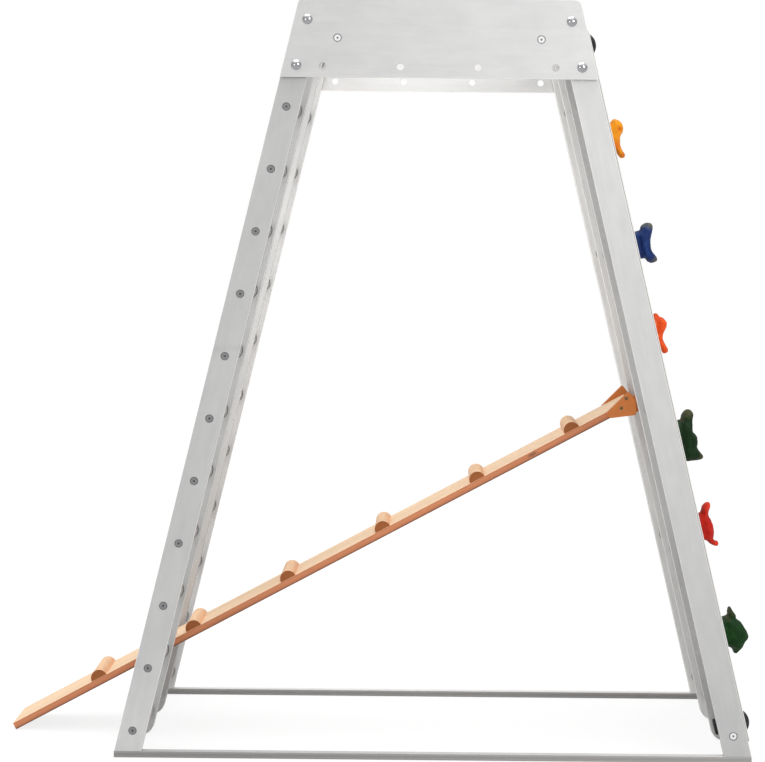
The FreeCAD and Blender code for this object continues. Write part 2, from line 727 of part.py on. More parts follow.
# Loft sections: place across the hold's width, scale of the silhouette
SECTIONS = [(-0.5, 0.52), (-0.34, 0.86), (0.0, 1.0), (0.34, 0.86), (0.5, 0.52)]
SEAT = dim("hold_seat")                  # height of the bolt's seat above the wall


def hold_distance(row, shift):
    """Distance of a hold's bolt along the leg."""
    return leg_distance(dim("hold_first") + row * dim("hold_pitch")) + shift


def hold(label, row, shift, width, column):
    """Bulging hold.  Local x is out of the wall, local z up the wall from the bolt,
    which crosses the silhouette at the height equal to the hold's shift."""
    outline = OUTLINES.get(label, OUTLINES["hold_far"])
    sections = []
    for part, scale in SECTIONS:
        points = [Vector(out * scale, width * part, (up - shift) * scale)
                  for out, up in outline]
        curve = Part.BSplineCurve()
        curve.interpolate(points)
        back = Part.LineSegment(points[-1], points[0])
        sections.append(Part.Wire([curve.toShape(), back.toShape()]))
    solid = Part.makeLoft(sections, True, False)
    # the loft may come out inside out
    if solid.Volume < 0:
        solid.reverse()
    behind_wall_face = Part.makeBox(200, 200, 300, Vector(-200, -100, -150))
    solid = solid.cut(behind_wall_face)
    outward = Vector(1, 0, 0)
    shank_hole = Part.makeCylinder(dim("hold_bolt_hole") / 2, 40, Vector(-5, 0, 0), outward)
    head_bore = Part.makeCylinder(dim("hold_bolt_bore") / 2, 90, Vector(SEAT, 0, 0), outward)
    solid = solid.cut(shank_hole.fuse(head_bore)).removeSplitter()
    # slivers cut loose from the hold are left out
    largest = sorted(solid.Solids, key=lambda piece: piece.Volume)[-1]
    feature = keep_shape(label, largest)
    feature.Placement = leg_placement(column * dim("hold_column"), False,
                                      WALL_FACE, hold_distance(row, shift))


for hold_row in HOLDS:
    hold(*hold_row)


def wall_placement(distance, y, above):
    """Local z points out of the wall, from a point above its outer face."""
    return facing(leg_position(WALL_FACE + above, y, distance), WALL_NORMAL)


def hold_placements(above):
    return [wall_placement(hold_distance(row, shift), column * dim("hold_column"), above)
            for name, row, shift, width, column in HOLDS]


def hold_bolts():
    """Socket-head bolts: head seat at local z = 0, shank towards -z."""
    length = SEAT + dim("wall_thick") + dim("hold_bolt_spare")
    shank = cylinder("hold_bolt_shank_piece", "Dims.hold_bolt_shank / 2", length,
                     Vector(0, 0, -length))
    head = cylinder("hold_bolt_head_piece", radius=8, height=8, base=Vector(0, 0, 0))
    socket = hexagon("hold_bolt_socket", circumradius=4.4, height=10, bottom=3.5)
    bolt = cut("hold_bolt_template", fuse("hold_bolt_solid", [shank, head]), [socket])
    group("hold_bolts", bolt, hold_placements(SEAT))


def hold_tnuts():
    """T-nuts: flange behind the wall's inner face at local z = 0, barrel towards +z."""
    flange = cylinder("nut_flange_piece", "Dims.nut_flange / 2", "Dims.nut_flange_thick",
                      Vector(0, 0, -dim("nut_flange_thick")))
    barrel = cylinder("nut_barrel_piece", "Dims.nut_barrel / 2", "Dims.nut_barrel_long",
                      Vector(0, 0, 0))
    thread = cylinder("nut_thread", "Dims.hold_bolt_shank / 2 + Dims.thread_gap",
                      height=20, base=Vector(0, 0, -5))
    nut = cut("t_nut_template", fuse("t_nut_solid", [flange, barrel]), [thread])
    group("hold_tnuts", nut, hold_placements(-dim("wall_thick")))


hold_bolts()
hold_tnuts()


# ----------------------------------------------------------------------------
# Fasteners of the frame
# ----------------------------------------------------------------------------
def sunk_screw(name, shank, head, head_deep, length, socket_radius, socket_deep):
    """Countersunk hex-socket screw: top at local z = 0, shank towards -z."""
    rod = cylinder(name + "_shank", shank + " / 2", length,
                   Vector(0, 0, -value_of(length)))
    taper = cone(name + "_head", shank + " / 2", head + " / 2", head_deep,
                 Vector(0, 0, -value_of(head_deep)))
    socket = hexagon(name + "_socket", socket_radius, socket_deep + 1, -socket_deep)
    return cut(name + "_template", fuse(name + "_solid", [rod, taper]), [socket])


def small_screw(name, length):
    return sunk_screw(name, "Dims.ramp_screw", "Dims.ramp_screw_head",
                      "Dims.ramp_screw_head_deep", length,
                      socket_radius=1.9, socket_deep=1.6)


def sideways(x, y_distance, z, side):
    """Placement at a distance either side of the XZ plane, local z pointing away."""
    return facing(Vector(x, side * y_distance, z), Vector(0, side, 0))


SIDES = (-1, 1)


def frame_screws():
    screw = sunk_screw("frame_screw", "Dims.screw_shank", "Dims.screw_head",
                       "Dims.screw_head_deep", "Dims.screw_long",
                       socket_radius=2.9, socket_deep=3.2)
    inset = dim("screw_inset")
    group("rung_screws", screw,
          [sideways(leg_x(z, True), HALF_DEPTH - inset, z, side)
           for z in RUNG_HEIGHTS for side in SIDES])
    places = []
    for side in SIDES:
        z = RUNG_HEIGHTS[0]
        places.append(sideways(leg_x(z), HALF_DEPTH - inset, z, side))
        for sign in (-1, 1):
            places.append(sideways(sign * dim("top_bar_offset"), PANEL_FACE - inset,
                                   dim("top_bar_height"), side))
    group("crossbar_screws", screw, places)


def runner_screws():
    sink = 0.3                                       # tops above the floor
    screw = small_screw("runner_screw", "Dims.foot_pilot + Dims.runner_screw_extra")
    group("runner_screws", screw,
          [facing(Vector(x, side * (HALF_DEPTH - THICK / 2), sink), Vector(0, 0, -1))
           for x in FOOT_SCREWS for side in SIDES])


def domed_bolt(name, head, dome, head_height, shank, length):
    """Bolt with a spherical cap on its head: seat at local z = 0, shank towards -z."""
    radius = "((%s / 2)^2 + %s^2) / (2 * %s)" % (head, dome, dome)
    centre = Vector(0, 0, value_of(head_height) - value_of(radius))
    cap = doc.addObject("Part::Common", name + "_cap")
    cap.Base = primitive("Part::Sphere", name + "_ball", Placement(centre, Rotation()),
                         Radius=radius)
    cap.Tool = cylinder(name + "_keep", head + " / 2", height=30, base=Vector(0, 0, 0))
    rod = cylinder(name + "_rod", shank + " / 2", length, Vector(0, 0, -length))
    return fuse(name + "_template", [cap, rod])


def panel_bolts():
    """Domed bolts through the top panels, with flange nuts on the uprights."""
    bolt = domed_bolt("carriage", "Dims.bolt_head", "Dims.bolt_dome", "Dims.bolt_dome",
                      "Dims.bolt_shank", dim("panel_thick") + THICK + dim("bolt_spare"))
    prism = hexagon("flange_nut_hex", circumradius=9.2, height=9, bottom=-11)
    rim = cylinder("flange_nut_rim", radius=10.8, height=2, base=Vector(0, 0, -2))
    thread = cylinder("flange_nut_bore", "Dims.bolt_shank / 2 + Dims.thread_gap",
                      height=20, base=Vector(0, 0, -15))
    nut = cut("flange_nut_template", fuse("flange_nut_solid", [prism, rim]), [thread])
    places = [(leg_x(z, ladder), z, side) for z in (dim("bolt_high"), dim("bolt_low"))
              for ladder in (True, False) for side in SIDES]
    group("panel_carriage_bolts", bolt,
          [sideways(x, PANEL_FACE, z, side) for x, z, side in places])
    group("panel_bolt_nuts", nut,
          [sideways(x, HALF_DEPTH - THICK, z, side) for x, z, side in places])


frame_screws()
runner_screws()
panel_bolts()


# ----------------------------------------------------------------------------
# Wall clamps: mushroom head outside the wall, scalloped knob behind the bar
# ----------------------------------------------------------------------------
CLAMPS = [("low", leg_distance(dim("first_rung"))), ("high", leg_distance(dim("bar_top")))]
KNOB_FACE = HALF_UPRIGHT - dim("rung_diameter") / 2 - dim("knob_gap")    # across the leg


def clamp_bolts():
    bolt = domed_bolt("clamp", "Dims.clamp_head", "Dims.clamp_dome",
                      "Dims.clamp_collar + Dims.clamp_dome", "Dims.clamp_shank",
                      WALL_FACE - KNOB_FACE + dim("knob_grip"))
    group("wall_clamp_bolts", bolt,
          [wall_placement(distance, CLAMP_Y, 0.0) for name, distance in CLAMPS])


def clamp_knob(label, distance):
    body = new_body(label)
    sketch = circle_sketch(body, label + "_outline", [("0", "0", "Dims.knob_diameter")],
                           "XY_Plane")
    disc = pad(body, label + "_disc", sketch, "Dims.knob_thick")
    round_edges(body, label + "_edges", disc,
                lambda e: e.Curve.TypeId == "Part::GeomCircle", "Dims.knob_round")
    scallop = bore(body, label + "_scallop", label + "_scallop_sketch",
                   [("Dims.knob_diameter / 2 + Dims.scallop_offset", "0",
                     "Dims.scallop_diameter")], plane="XY_Plane")
    pattern = body.newObject("PartDesign::PolarPattern", label + "_scallops")
    pattern.Originals = [scallop]
    pattern.Axis = (origin_feature(body, "Z_Axis"), [""])
    pattern.Angle = 360
    pattern.Occurrences = 8
    body.Tip = pattern
    bore(body, label + "_bore", label + "_bore_sketch", [("0", "0", "Dims.knob_bore")],
         plane="XY_Plane", depth="Dims.knob_bore_deep")
    body.Placement = facing(leg_position(KNOB_FACE, CLAMP_Y, distance), -WALL_NORMAL)
    keep(body)


clamp_bolts()
for name, distance in CLAMPS:
    clamp_knob("clamp_knob_%s_near" % name, distance)


# ----------------------------------------------------------------------------
# Ramp.  Local x runs up the board from its lower foot corner, local z is normal
# to the board from its underside, local y is the model's Y.
# ----------------------------------------------------------------------------
SLOPE = math.radians(dim("ramp_angle"))
RAMP_ROTATION = Rotation(ALONG_Y, -dim("ramp_angle"))
RAMP_NORMAL = Vector(-math.sin(SLOPE), 0, math.cos(SLOPE))
HALF_BOARD = dim("board_width") / 2
EAR_THICK = dim("ear_thick")
HOOK_THICK = dim("hook_thick")
BOARD_THICK = dim("board_thick")

CLEATS = [dim("cleat_first") + i * dim("cleat_pitch") for i in range(6)]
CLEAT_ROWS = (-60.0, 60.0)                           # y of the cleat screws
# Ear screws (along the ramp, above the underside): a long one through the hook
# plate into the board's edge, a short one into the hook plate only
LONG_SCREW = (1700.0, 11.0)
SHORT_SCREW = (1722.0, 26.5)
EAR_SCREWS = [LONG_SCREW, SHORT_SCREW]
SCREW_RADIUS = "Dims.ramp_screw_hole / 2"
SINK_RADIUS = "Dims.ramp_screw_head / 2 + Dims.ramp_sink_margin"
OVERCUT = 0.01                                       # sinks start this far outside


def ramp_point(up, above, y=0.0):
    return Vector(-dim("ramp_foot") + up * math.cos(SLOPE) - above * math.sin(SLOPE), y,
                  up * math.sin(SLOPE) + above * math.cos(SLOPE))


def ramp_placement(up, y, above):
    return Placement(ramp_point(up, above, y), RAMP_ROTATION)


def ramp_board():
    body = new_body("ramp_board_body")
    sketch = new_sketch(body, "board_outline")
    rectangle(sketch, "Dims.board_long", "Dims.board_thick")
    blank = pad(body, "board_blank", sketch, "Dims.board_width")
    round_edges(body, "board_edges", blank,
                lambda e: abs(direction(e).x) > 0.9, "Dims.board_round")
    body.Placement = ramp_placement(0, HALF_BOARD, 0)
    tools = []
    for i, up in enumerate(CLEATS):
        for j, y in enumerate(CLEAT_ROWS):
            tools.append(cylinder("board_hole_%d_%d" % (i, j), SCREW_RADIUS, 40,
                                  ramp_point(up, -10, y), RAMP_NORMAL))
            tools.append(cone("board_sink_%d_%d" % (i, j), SINK_RADIUS, SCREW_RADIUS,
                              "Dims.ramp_sink_deep", ramp_point(up, -OVERCUT, y),
                              RAMP_NORMAL))
    # edge pilots for the long ear screws, started outside the board
    for side in SIDES:
        tools.append(cylinder("board_pilot_0_%d" % (side + 1), SCREW_RADIUS, 48,
                              ramp_point(*LONG_SCREW, side * (HALF_BOARD + 3)),
                              Vector(0, -side, 0)))
    keep(cut("ramp_board", body, tools))


def cleat(label, up):
    """Half-round cleat across the board, with pilots in its flat face."""
    body = new_body(label + "_body")
    sketch = new_sketch(body, label + "_outline")
    radius = dim("cleat_radius")
    rim = Part.Circle(Vector(radius, 0, 0), UP, radius)
    arc = sketch.addGeometry(Part.ArcOfCircle(rim, 0, math.pi), False)
    flat = sketch.addGeometry(
        Part.LineSegment(Vector(0, 0, 0), Vector(2 * radius, 0, 0)), False)
    close_chain(sketch, [arc, flat])
    coincide(sketch, flat, 1, -1, 1)
    sketch.addConstraint(Sketcher.Constraint("PointOnObject", flat, 2, -1))
    sketch.addConstraint(Sketcher.Constraint("PointOnObject", arc, 3, -1))
    bound_constraint(sketch, "Dims.cleat_radius", "Radius", arc)
    pad(body, label + "_blank", sketch, "Dims.board_width")
    body.Placement = ramp_placement(up - radius, HALF_BOARD, BOARD_THICK)
    tools = [cylinder("%s_pilot_%d" % (label, i), SCREW_RADIUS, 18,
                      ramp_point(up, BOARD_THICK - 2, y), RAMP_NORMAL)
             for i, y in enumerate(CLEAT_ROWS)]
    keep(cut(label, body, tools))


ramp_board()
for number, up in enumerate(CLEATS, start=1):
    cleat("ramp_cleat_%d" % number, up)


# ----------------------------------------------------------------------------
# Ears and hook plates at the ramp's upper end
# ----------------------------------------------------------------------------
# Ear corners (along the ramp, above its underside); an arc joins the second to
# the third, and EAR_CENTRE only gives the arc's starting shape
EAR_CORNERS = [(1663.0, 2.0), (1723.3, -20.6), (1734.7, 38.8), (1663.0, 17.0)]
EAR_CENTRE = (1681.0, 16.0)
EAR_ORIGIN = (1600.0, -60.0)             # sketch origin, keeps every distance positive

# Hook plate parts, in the ramp's directions
PLATE_START, PLATE_BOTTOM = 1689.0, -4.0
PLATE_LONG, PLATE_HIGH = 39.0, 21.4
STRAP_START = 1690.0                     # the strap runs from here to the bar's axis
STRAP_HIGH, STRAP_DROP = 22.0, 2.0
BOSS_RADIUS = 6.8                        # round the short screw
NECK_LONG, NECK_HIGH = 13.0, 14.0        # between the boss and the plate
RECESS_GAP = 0.2                         # growth of the ear's recess round the hook
BAR_X, BAR_Z = leg_x(dim("bar_ramp")), dim("bar_ramp")


def ear_outline(body, name):
    sketch = new_sketch(body, name)
    corners = [Vector(up - EAR_ORIGIN[0], above - EAR_ORIGIN[1], 0)
               for up, above in EAR_CORNERS]
    centre = Vector(EAR_CENTRE[0] - EAR_ORIGIN[0], EAR_CENTRE[1] - EAR_ORIGIN[1], 0)
    ends = [corner.sub(centre) for corner in corners[1:3]]
    angle = 0.5 * sum(math.atan2(end.y, end.x) for end in ends)
    radius = 0.5 * sum(end.Length for end in ends)
    middle = centre.add(Vector(radius * math.cos(angle), radius * math.sin(angle), 0))
    edges = [sketch.addGeometry(curve, False) for curve in (
        Part.LineSegment(corners[0], corners[1]),
        Part.Arc(corners[1], middle, corners[2]),
        Part.LineSegment(corners[2], corners[3]),
        Part.LineSegment(corners[3], corners[0]))]
    close_chain(sketch, edges)
    for edge, end, corner in ((0, 1, 0), (0, 2, 1), (2, 1, 2), (2, 2, 3)):
        fix_point(sketch, edges[edge], end, repr(corners[corner].x), repr(corners[corner].y))
    bound_constraint(sketch, "Dims.ear_radius", "Radius", edges[1])
    return sketch


def hook_pieces(name, y_low, grow):
    """Solid parts of a hook plate from y_low upwards, all grown by a margin."""
    thick = "Dims.hook_thick + %r" % grow
    ring = cylinder(name + "_ring", "Dims.hook_outer + %r" % grow, thick,
                    Vector(BAR_X, y_low, BAR_Z), ALONG_Y)
    start = ramp_point(STRAP_START, PLATE_BOTTOM)
    reach = Vector(BAR_X, 0, BAR_Z).sub(start)
    tilt = Rotation(ALONG_Y, -math.degrees(math.atan2(reach.z, reach.x)))
    drop = tilt.multVec(Vector(0, 0, -STRAP_DROP - grow))
    strap = box(name + "_strap", reach.Length, thick, STRAP_HIGH + 2 * grow,
                Placement(Vector(start.x, y_low, start.z).add(drop), tilt))
    plate = box(name + "_plate", PLATE_LONG + 2 * grow, thick, PLATE_HIGH + 2 * grow,
                ramp_placement(PLATE_START - grow, y_low, PLATE_BOTTOM - grow))
    up, above = SHORT_SCREW
    boss = cylinder(name + "_boss", BOSS_RADIUS + grow, thick,
                    ramp_point(up, above, y_low), ALONG_Y)
    neck = box(name + "_neck", NECK_LONG + 2 * grow, thick, NECK_HIGH,
               ramp_placement(up - NECK_LONG / 2 - grow, y_low, above - NECK_HIGH))
    return [ring, strap, plate, boss, neck]


def hook(label, y_low):
    """Hook plate: a ring round the bar, open downwards and beyond the bar."""
    solid = fuse(label + "_solid", hook_pieces(label, y_low, 0.0))
    y_start, tool_width, tool_height = y_low - 10, 30, 60
    mouth = cylinder(label + "_mouth", "Dims.hook_mouth", tool_width,
                     Vector(BAR_X, y_start, BAR_Z), ALONG_Y)
    below = BAR_Z - tool_height
    slot = box(label + "_slot", "2 * Dims.hook_mouth", tool_width, tool_height,
               Placement(Vector(BAR_X - dim("hook_mouth"), y_start, below), Rotation()))
    trim = box(label + "_trim", 60, tool_width, tool_height,
               Placement(Vector(BAR_X, y_start, below), Rotation()))
    holes = [cylinder("%s_hole_%d" % (label, i), SCREW_RADIUS, tool_width,
                      ramp_point(up, above, y_start), ALONG_Y)
             for i, (up, above) in enumerate(EAR_SCREWS)]
    keep(cut(label, solid, [mouth, slot, trim] + holes))


def ear(label, side):
    """Ear on the board's edge (side -1 near, +1 far), with a recess in its inner
    face for the hook plate and screw holes countersunk from outside."""
    body = new_body(label + "_body")
    y_high = -HALF_BOARD if side < 0 else HALF_BOARD + EAR_THICK
    blank = pad(body, label + "_blank", ear_outline(body, label + "_outline"),
                "Dims.ear_thick")
    body.Placement = ramp_placement(EAR_ORIGIN[0], y_high, EAR_ORIGIN[1])
    round_edges(body, label + "_edges", blank,
                lambda e: abs(direction(e).y) > 0.9, "Dims.ear_round")
    hook_low = -HALF_BOARD - HOOK_THICK if side < 0 else HALF_BOARD
    tools = hook_pieces(label + "_recess", hook_low - RECESS_GAP / 2, RECESS_GAP)
    outer_face = side * (HALF_BOARD + EAR_THICK)
    for i, (up, above) in enumerate(EAR_SCREWS):
        tools.append(cylinder("%s_hole_%d" % (label, i), SCREW_RADIUS, 40,
                              ramp_point(up, above, y_high + 5), Vector(0, -1, 0)))
        tools.append(cone("%s_sink_%d" % (label, i), SINK_RADIUS, SCREW_RADIUS,
                          "Dims.ramp_sink_deep",
                          ramp_point(up, above, outer_face + OVERCUT * side),
                          Vector(0, -side, 0)))
    keep(cut(label, body, tools))


def ramp_screws():
    inset = dim("ramp_screw_inset")
    cleat_screw = small_screw("ramp_screw_piece", "Dims.cleat_screw_long")
    group("ramp_cleat_screws", cleat_screw,
          [facing(ramp_point(up, inset, y), -RAMP_NORMAL)
           for up in CLEATS for y in CLEAT_ROWS])
    shapes = []
    for (up, above), name, length in (
            (LONG_SCREW, "ear_screw_piece", "Dims.ear_screw_long"),
            (SHORT_SCREW, "hook_screw_piece", "Dims.hook_screw_long")):
        face = HALF_BOARD + EAR_THICK - inset
        shapes += copies(small_screw(name, length),
                         [facing(ramp_point(up, above, side * face), Vector(0, side, 0))
                          for side in SIDES])
    keep_shape("ramp_ear_screws", Part.makeCompound(shapes))


ear("ramp_ear_near", -1)
ear("ramp_ear_far", 1)
hook("ramp_hook_near", -HALF_BOARD - HOOK_THICK)
hook("ramp_hook_far", HALF_BOARD)
ramp_screws()


# ----------------------------------------------------------------------------
# Check the document and write the sub-parts
# ----------------------------------------------------------------------------
doc.recompute()
failed = [item.Label for item in doc.Objects
          if any(word in ("Invalid", "Error") for word in item.State)]
if failed:
    raise RuntimeError("objects with errors: %s" % failed)
labels = [item.Label for item in EXPORT]
if len(labels) != len(set(labels)):
    raise RuntimeError("two sub-parts share a name")
for item in EXPORT:
    if item.Shape.isNull() or not item.Shape.isValid() or not item.Shape.Solids:
        raise RuntimeError("bad shape: " + item.Label)
    # moving a piece that another one is built from would move that one as well
    if item.InList:
        raise RuntimeError("%s is used by another object" % item.Label)

to_origin = Placement(Vector(dim("origin_shift"), 0, 0), Rotation())
for item in EXPORT:
    item.Placement = to_origin.multiply(item.Placement)

os.makedirs("parts", exist_ok=True)
for item in EXPORT:
    item.Shape.exportStep(os.path.join("parts", item.Label + ".step"))
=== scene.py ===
import bpy, bmesh, math, random
import numpy as np
from mathutils import Vector, Matrix, noise


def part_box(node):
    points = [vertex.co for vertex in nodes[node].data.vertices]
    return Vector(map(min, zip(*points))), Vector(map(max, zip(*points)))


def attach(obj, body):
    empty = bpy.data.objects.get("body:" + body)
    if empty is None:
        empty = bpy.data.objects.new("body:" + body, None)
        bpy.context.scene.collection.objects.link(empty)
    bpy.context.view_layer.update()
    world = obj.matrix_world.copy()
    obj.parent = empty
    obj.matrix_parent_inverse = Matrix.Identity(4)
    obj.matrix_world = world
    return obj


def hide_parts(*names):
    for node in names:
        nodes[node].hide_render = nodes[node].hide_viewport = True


# Indoor climbing frame with a cleated hook-on ramp.  Everything is placed from
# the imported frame's own boxes and joints, in metres.
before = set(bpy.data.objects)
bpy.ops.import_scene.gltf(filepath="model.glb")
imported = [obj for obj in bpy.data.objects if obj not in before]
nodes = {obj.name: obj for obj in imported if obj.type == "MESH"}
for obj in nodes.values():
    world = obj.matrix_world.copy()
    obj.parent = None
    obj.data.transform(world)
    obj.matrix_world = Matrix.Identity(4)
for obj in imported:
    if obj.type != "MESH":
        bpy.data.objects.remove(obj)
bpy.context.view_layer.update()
rng = random.Random(41)

LEAN = math.radians(13.3)
RAMP = math.radians(28.2)
CT, ST = math.cos(LEAN), math.sin(LEAN)
run_lo, run_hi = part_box("floor_runner_near")
CX = 0.5 * (run_lo[0] + run_hi[0])          # middle of the base, between the legs


# ---------------------------------------------------------------------------
# Node-tree helpers
# ---------------------------------------------------------------------------
def srgb(r, g, b):
    def f(c):
        c /= 255.0
        return c / 12.92 if c <= 0.04045 else ((c + 0.055) / 1.055) ** 2.4
    return (f(r), f(g), f(b), 1.0)


class Tree:
    """A small wrapper that makes a material's nodes readable."""

    def __init__(self, name):
        self.mat = bpy.data.materials.new(name)
        self.mat.use_nodes = True
        self.nt = self.mat.node_tree
        self.nt.nodes.clear()
        self.out = self.nt.nodes.new("ShaderNodeOutputMaterial")
        self.bsdf = self.nt.nodes.new("ShaderNodeBsdfPrincipled")
        self.nt.links.new(self.bsdf.outputs[0], self.out.inputs[0])

    def node(self, kind, **kw):
        n = self.nt.nodes.new(kind)
        for k, v in kw.items():
            setattr(n, k, v)
        return n

    def put(self, sock, value):
        if isinstance(value, bpy.types.NodeSocket):
            self.nt.links.new(value, sock)
        elif value is not None:
            sock.default_value = value

    def math(self, op, a, b=None, c=None, clamp=False):
        n = self.node("ShaderNodeMath", operation=op, use_clamp=clamp)
        self.put(n.inputs[0], a)
        if b is not None:
            self.put(n.inputs[1], b)
        if c is not None:
            self.put(n.inputs[2], c)
        return n.outputs[0]

    def mix(self, fac, a, b, mode="MIX"):
        n = self.node("ShaderNodeMix", data_type="RGBA", blend_type=mode)
        self.put(n.inputs[0], fac)
        self.put(n.inputs[6], a)
        self.put(n.inputs[7], b)
        return n.outputs[2]

    def position(self):
        return self.node("ShaderNodeTexCoord").outputs["Object"]

    def normal(self):
        return self.node("ShaderNodeTexCoord").outputs["Normal"]

    def xyz(self, v):
        n = self.node("ShaderNodeSeparateXYZ")
        self.put(n.inputs[0], v)
        return n.outputs

    def combine(self, x, y, z):
        n = self.node("ShaderNodeCombineXYZ")
        for i, v in enumerate((x, y, z)):
            self.put(n.inputs[i], v)
        return n.outputs[0]

    def dot(self, v, axis):
        n = self.node("ShaderNodeVectorMath", operation="DOT_PRODUCT")
        self.put(n.inputs[0], v)
        n.inputs[1].default_value = axis
        return n.outputs["Value"]

    def noise(self, vec, scale, detail=3.0, rough=0.5, dist=0.0):
        n = self.node("ShaderNodeTexNoise")
        self.put(n.inputs["Vector"], vec)
        n.inputs["Scale"].default_value = scale
        n.inputs["Detail"].default_value = detail
        n.inputs["Roughness"].default_value = rough
        n.inputs["Distortion"].default_value = dist
        return n.outputs[0]

    def ramp(self, fac, stops, mode="LINEAR"):
        n = self.node("ShaderNodeValToRGB")
        cr = n.color_ramp
        cr.interpolation = mode
        while len(cr.elements) < len(stops):
            cr.elements.new(0.5)
        for e, (p, c) in zip(cr.elements, stops):
            e.position = p
            e.color = c if len(c) == 4 else (c[0], c[1], c[2], 1.0)
        self.put(n.inputs[0], fac)
        return n.outputs[0]

    def grey(self, fac, stops, mode="LINEAR"):
        return self.ramp(fac, [(p, (v, v, v, 1.0)) for p, v in stops], mode)

    def bump(self, height, strength, distance, normal=None):
        n = self.node("ShaderNodeBump")
        n.inputs["Strength"].default_value = strength
        n.inputs["Distance"].default_value = distance
        self.put(n.inputs["Height"], height)
        if normal is not None:
            self.put(n.inputs["Normal"], normal)
        return n.outputs[0]

    def span(self, value, a, va, b, vb):
        """va at a, vb at b, straight between and level outside."""
        n = self.node("ShaderNodeMapRange")
        self.put(n.inputs[0], value)
        for i, v in enumerate((a, b, va, vb), start=1):
            n.inputs[i].default_value = v
        return n.outputs[0]

    def crevice_shade(self, color, reach, low=0.45):
        """Painted shade from an occlusion node: darkens the surface inside screw countersinks and along tight joints.
        """
        n = self.node("ShaderNodeAmbientOcclusion", samples=4)
        n.inputs["Distance"].default_value = reach
        f = self.grey(n.outputs["AO"], [(0.0, low), (0.35, low + 0.12), (0.75, 1.0), (1.0, 1.0)])
        s = self.node("ShaderNodeMix", data_type="RGBA", blend_type="MULTIPLY")
        s.inputs[0].default_value = 1.0
        self.put(s.inputs[6], color)
        self.put(s.inputs[7], f)
        return s.outputs[2]

    def finish(self, color, rough, normal=None, metallic=0.0, coat=0.0, spec=0.5, sub=0.0):
        b = self.bsdf
        self.put(b.inputs["Base Color"], color)
        self.put(b.inputs["Roughness"], rough)
        self.put(b.inputs["Metallic"], metallic)
        b.inputs["Coat Weight"].default_value = coat
        b.inputs["Coat Roughness"].default_value = 0.35
        b.inputs["Specular IOR Level"].default_value = spec
        if sub:
            b.inputs["Subsurface Weight"].default_value = sub
            b.inputs["Subsurface Radius"].default_value = (0.01, 0.006, 0.004)
        if normal is not None:
            self.put(b.inputs["Normal"], normal)
        return self.mat


def axes(t, along, across, thick):
    """Coordinates along the grain, across it and through the plies, in metres."""
    p = t.position()
    return t.dot(p, along), t.dot(p, across), t.dot(p, thick)


